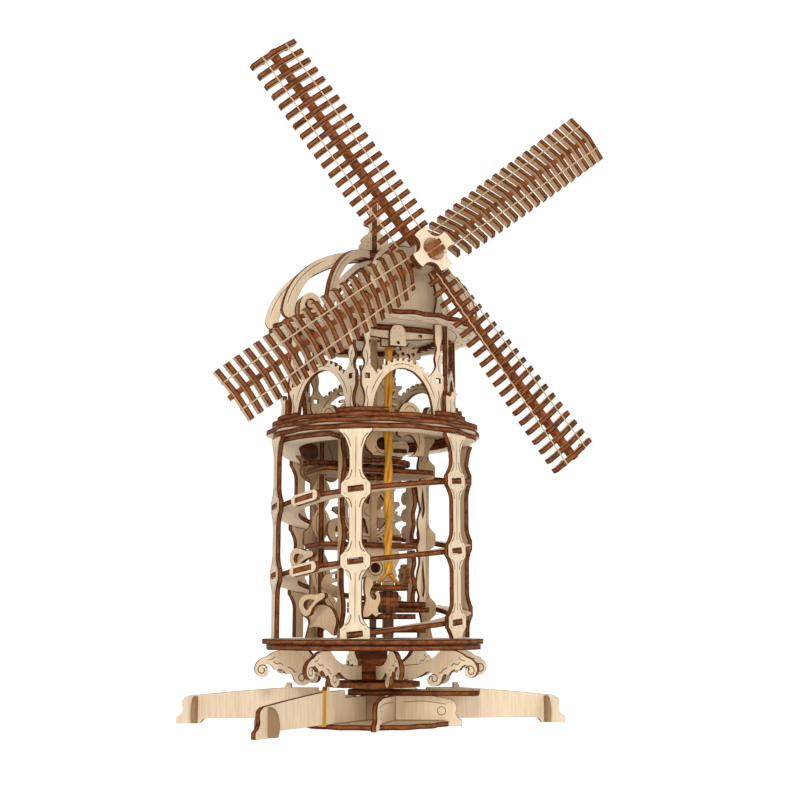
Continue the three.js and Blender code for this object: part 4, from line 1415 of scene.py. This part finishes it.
def build_deck_plates():
    """Pointed brackets and round plates on the upper deck."""
    half_round = smooth(
        [
            (-8, GALLERY_Z), (-8.2, 184), (-5, 188.6), (0, 190.4), (5, 188.6), (8.2, 184),
            (8, GALLERY_Z),
        ],
        4,
    )
    point = [(-3.4, GALLERY_Z), (4.4, GALLERY_Z), (5.2, 185)]
    point += smooth([(5.2, 185), (3.8, 189.5), (5.6, 193), (9.0, 195.6)], 4)[1:] + [(2.0, 196.2)]
    edge = [(2.0, 196.2), (0.4, 193), (-3.8, 193), (-4.2, 188), (-3.4, GALLERY_Z)]
    point += smooth(edge, 4)[1:-1]
    line = smooth([(0, 183), (1, 187), (0, 191)], 3)
    plates = []
    for turn in (30, 90, 150, 210, 270):
        side = 1 if turn < 180 else -1
        plates.append(([(side * x, z) for x, z in point], facing(-57.2, turn), [], [line]))
    trim("corner_brackets", 126, plates, 1.0)
    plates = []
    for turn, radius in ((-72, 34), (-44, 36), (14, 37), (48, 36), (104, 38), (160, 36), (222, 36)):
        plates.append((half_round, facing(-radius, turn), [], [arc(0, 183.4, 4.6, 20, 160, 10)]))
    trim("deck_plates", 127, plates, 0.75)


def build_gallery_rack():
    """A toothed arc at the back of the gallery."""
    teeth = []
    for i in range(15):
        a = 14 + i * 10.2
        for r, da in ((25.5, 0), (29.2, 1.2), (29.6, 4.6), (25.9, 6.2)):
            teeth += oval([a + da], r, r)
    back = oval(range(166, 13, -6), 21.0, 21.0)
    rack = [(x + 14, GALLERY_Z + 0.2 + max(y - 4.5, 0)) for x, y in teeth + back]
    # darkened almost to brown: painted shade at the back of the gallery
    trim("gallery_rack", 128, [(rack, facing(30), [], [])], 0.1)


def build_deck_rim():
    """Raised segments round the upper deck's rim."""
    build = Build(129)
    for turn in range(0, 360, 60):
        outer = [polar(a + turn, 60.4 + 0.9 * math.cos(rad(a * 12))) for a in range(-42, -10, 2)]
        inner = [polar(a + turn, 57.4) for a in range(-12, -43, -2)]
        build.plate(outer + inner, flat(GALLERY_Z + 1.55))
    build.object("deck_rim", "tower")


def build_under_cap():
    """The cracked plate and the toothed ring under the cap's floor."""
    front = smooth(
        [
            (-18.6, -37.2), (0, -37.2), (18.6, -37.2), (25.5, -35.4), (28, -30), (24, -19),
            (15, -10.5), (3.5, -8), (-8, -10.5), (-16, -18), (-21, -30), (-20.4, -35),
        ],
        4, closed=True,
    )
    crack = smooth([(-4, 0), (-1.6, 1.6), (1.2, 0.2), (3.6, 1.4)], 4)
    build = Build(130)
    place = flat(235.1)
    build.plate(front, place, [rectangle(0, BAND_Y, 12.4, 4.4)])
    for x, y in ((-10, -33), (-4, -31), (9, -33.5), (14, -31), (21, -29), (-14, -29), (12, -27)):
        build.line(moved(crack, x, y), place, 0.4, sides=(-1,))
    build.object("cap_under_plate", "tower")
    teeth = []
    for k in range(21):
        a = 74 + k * 10
        for r, da in ((42.0, 0), (38.6, 1.4), (38.6, 4.8), (42.0, 6.4)):
            teeth.append(polar(a + da, r))
    rim = [polar(a, 49.4) for a in range(280, 73, -4)]
    build = Build(131)
    build.plate(teeth + rim, place)
    # darkened almost to brown: painted shade on the ring's underside
    build.object("cap_toothed_ring", "tower", painted_shade=0.1)


def build_cap_gears():
    """A small lobed gear under the cap and a large one behind the finger wheel."""
    x, z = 19.3, 224.6
    holes = [circle(x, z, 1.6, 12)]
    holes += [circle(x + px, z + pz, 1.1, 10) for px, pz in ((3.4, 1.4), (-3.4, 1.4), (0, -3.6))]
    small = (lobed(x, z, 6.0, 8.9, 9), facing(-8), holes, [])
    x, z = 13, 204
    holes = [circle(x, z, 2.4, 16)]
    holes += [circle(x + 8 * px, z + 8 * pz, 3.0, 16) for px, pz in ((0.87, 0.5), (-0.87, 0.5), (0, -1))]
    large = (lobed(x, z, 13.4, 17.2, 14), facing(24.6), holes, [])
    trim("cap_gears", 132, [small, large], 0.7)


def build_cap_boards():
    """The board and the hanger's face under the cap, the roller box and the gable's strip."""
    board = smooth(
        [(-16, 229.2), (-8, 228.6), (4, 228.4), (16, 229.4), (24, 230.6), (29, 232)], 4,
    ) + [(29.4, 233.3), (-16, 233.3)]
    trim("cap_board", 133, [(board, facing(-35.6), [rectangle(16, 231.4, 2.4, 1.6)], [])], 1.0)
    box = [(-54, 240.5), (-40.4, 240.5), (-40.2, 250)] + smooth(
        [(-40.2, 250), (-42, 255.6), (-46.8, 258), (-51.8, 255.4), (-54, 250)], 4,
    )[1:]
    trim(
        "roller_box", 134,
        [(box, facing(-14), [circle(-47, 250.6, 3.6, 24)], []), (box, facing(-6), [], [])], 0.8,
    )
    build = Build(135)
    build.plate(circle(-47, 250.6, 2.6, 20), facing(-10), thickness=12)
    build.object("roller_box_pin", "tower", painted_shade=0.3)
    strip = smooth([(17.6, 240.6), (19.4, 252), (17.0, 262), (13.0, 268.6)], 5) + smooth(
        [(15.4, 270.6), (20.4, 264), (22.8, 254), (22.2, 240.6)], 5,
    )
    trim("gable_strip", 136, [(strip, facing(-53.4), [], [])], 0.9)
    face = mirror([(5.2, 223.4), (5.2, 230.6), (4.8, 233.0), (3.6, 235.2), (1.6, 236.4)])
    dots = [
        [(px, pz), (px + 0.6, pz + 0.5)]
        for px, pz in (
            (-3.6, 228), (-1.4, 231.6), (2.2, 229.4), (3.6, 232.4), (-2.6, 233.8), (0.6, 234.2),
            (4.2, 227.4), (-4.6, 231),
        )
    ]
    trim("hanger_face", 137, [(face, facing(-39.4), [circle(0, 225.4, 1.0, 12)], dots)], 1.0)


build_base()
build_tower()
build_posts()
build_ramp()
build_gallery()
build_cap()
build_sails()
build_shafts()
build_inner()
build_links()
build_ramp_loops()
build_upper_plates()
build_panel_and_hook()
build_wavy_plates()
build_pale_strip()
build_stacked_sheets()
build_small_arms()
build_deck_plates()
build_gallery_rack()
build_deck_rim()
build_under_cap()
build_cap_gears()
build_cap_boards()


def build_band():
    """A doubled band, twisted up its length and parting to two hooks on the drum's disc."""
    fork, offset, steps = 89.5, 1.25, 40
    for side in BOTH:
        build = Build(99 + side)
        path, twist = [], []
        for k in range(steps + 1):
            t = k / steps
            a = side * math.pi / 2 + 9.4 * math.pi * t * (1 - 0.35 * t)
            z = fork + (BAND_TOP - 0.4 - fork) * t
            path.append((offset * math.cos(a), BAND_Y + offset * math.sin(a), z))
            twist.append(a)
        leg = [(side * x, BAND_Y, z) for x, z in ((6.4, 82.3), (4.6, 84.6), (2.0, 87.6))]
        radii = [1.7, 1.7, 1.8] + [2.0] * len(path)
        build.tube(leg + path, radii, flat_ratio=0.66, twist=[0, 0, 0] + twist)
        name, nodes = ("band_strand_a", ["rubber_band"]) if side > 0 else ("band_strand_b", [])
        made = build.object(name, None, nodes, materials=(RUBBER, RUBBER))
        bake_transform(made)


build_band()


# ---- Stage ----
VIEW_TURN, VIEW_PITCH, LENS = 22.0, 10.0, 57.4
CAMERA_PLACE = (-0.2789, -0.7342, 0.0587)
# each light's name, place, target, size, power and colour
LIGHTS = (
    ("key", (-0.75, -1.5, 1.0), (0, 0, 0.2), 0.6, 15, (1.0, 0.97, 0.93)),
    ("fill", (1.3, -1.0, 0.7), (0, 0, 0.2), 0.9, 3, (1.0, 0.96, 0.92)),
    ("front", (-0.35, -1.6, 0.15), (0, 0, 0.2), 0.7, 7.5, (1.0, 0.94, 0.87)),
    ("rim", (0.5, 0.9, 1.4), (0, 0, 0.25), 0.9, 5, (1.0, 1.0, 1.0)),
)
WORLD_COLOUR, WORLD_STRENGTH = (1.0, 0.87, 0.72, 1), 0.22


def backdrop():
    """A pale floor that curves up into the wall behind."""
    wide, bend, curve = 9.0, 0.8, 1.2
    profile = [(y, 0.0) for y in (-wide, -3.0, -1.0, 0.0, bend)]
    for a in range(6, 91, 6):
        profile.append((bend + curve * math.sin(rad(a)), curve - curve * math.cos(rad(a))))
    profile += [(bend + curve, 2.5), (bend + curve, 4.0)]
    verts, faces = [], []
    for y, z in profile:
        verts += [(-wide, y, z), (wide, y, z)]
    for i in range(len(profile) - 1):
        faces.append((2 * i, 2 * i + 1, 2 * i + 3, 2 * i + 2))
    mesh = bpy.data.meshes.new("backdrop")
    mesh.from_pydata(verts, [], faces)
    mesh.materials.append(FLOOR)
    mesh.polygons.foreach_set("use_smooth", [True] * len(faces))
    made = bpy.data.objects.new("backdrop", mesh)
    made.rotation_euler = (0, 0, rad(-VIEW_TURN))
    bpy.context.scene.collection.objects.link(made)


def area_light(name, place, target, size, power, colour):
    light = bpy.data.lights.new(name, "AREA")
    light.shape = "DISK"
    light.size = size
    light.energy = power
    light.color = colour
    made = bpy.data.objects.new(name, light)
    made.location = place
    made.rotation_euler = (Vector(target) - Vector(place)).to_track_quat("-Z", "Y").to_euler()
    bpy.context.scene.collection.objects.link(made)


def camera():
    data = bpy.data.cameras.new("camera")
    data.sensor_width = 36
    data.lens = LENS
    data.clip_start = 0.01
    made = bpy.data.objects.new("camera", data)
    made.location = CAMERA_PLACE
    turn, pitch = rad(VIEW_TURN), rad(VIEW_PITCH)
    level = math.cos(pitch)
    ahead = Vector((math.sin(turn) * level, math.cos(turn) * level, math.sin(pitch)))
    made.rotation_euler = ahead.to_track_quat("-Z", "Y").to_euler()
    bpy.context.scene.collection.objects.link(made)
    bpy.context.scene.camera = made


backdrop()
camera()
for light in LIGHTS:
    area_light(*light)
world = bpy.data.worlds.new("studio")
world.use_nodes = True
background = world.node_tree.nodes["Background"]
background.inputs["Color"].default_value = WORLD_COLOUR
background.inputs["Strength"].default_value = WORLD_STRENGTH
bpy.context.scene.world = world
bpy.context.scene.view_settings.view_transform = "Standard"
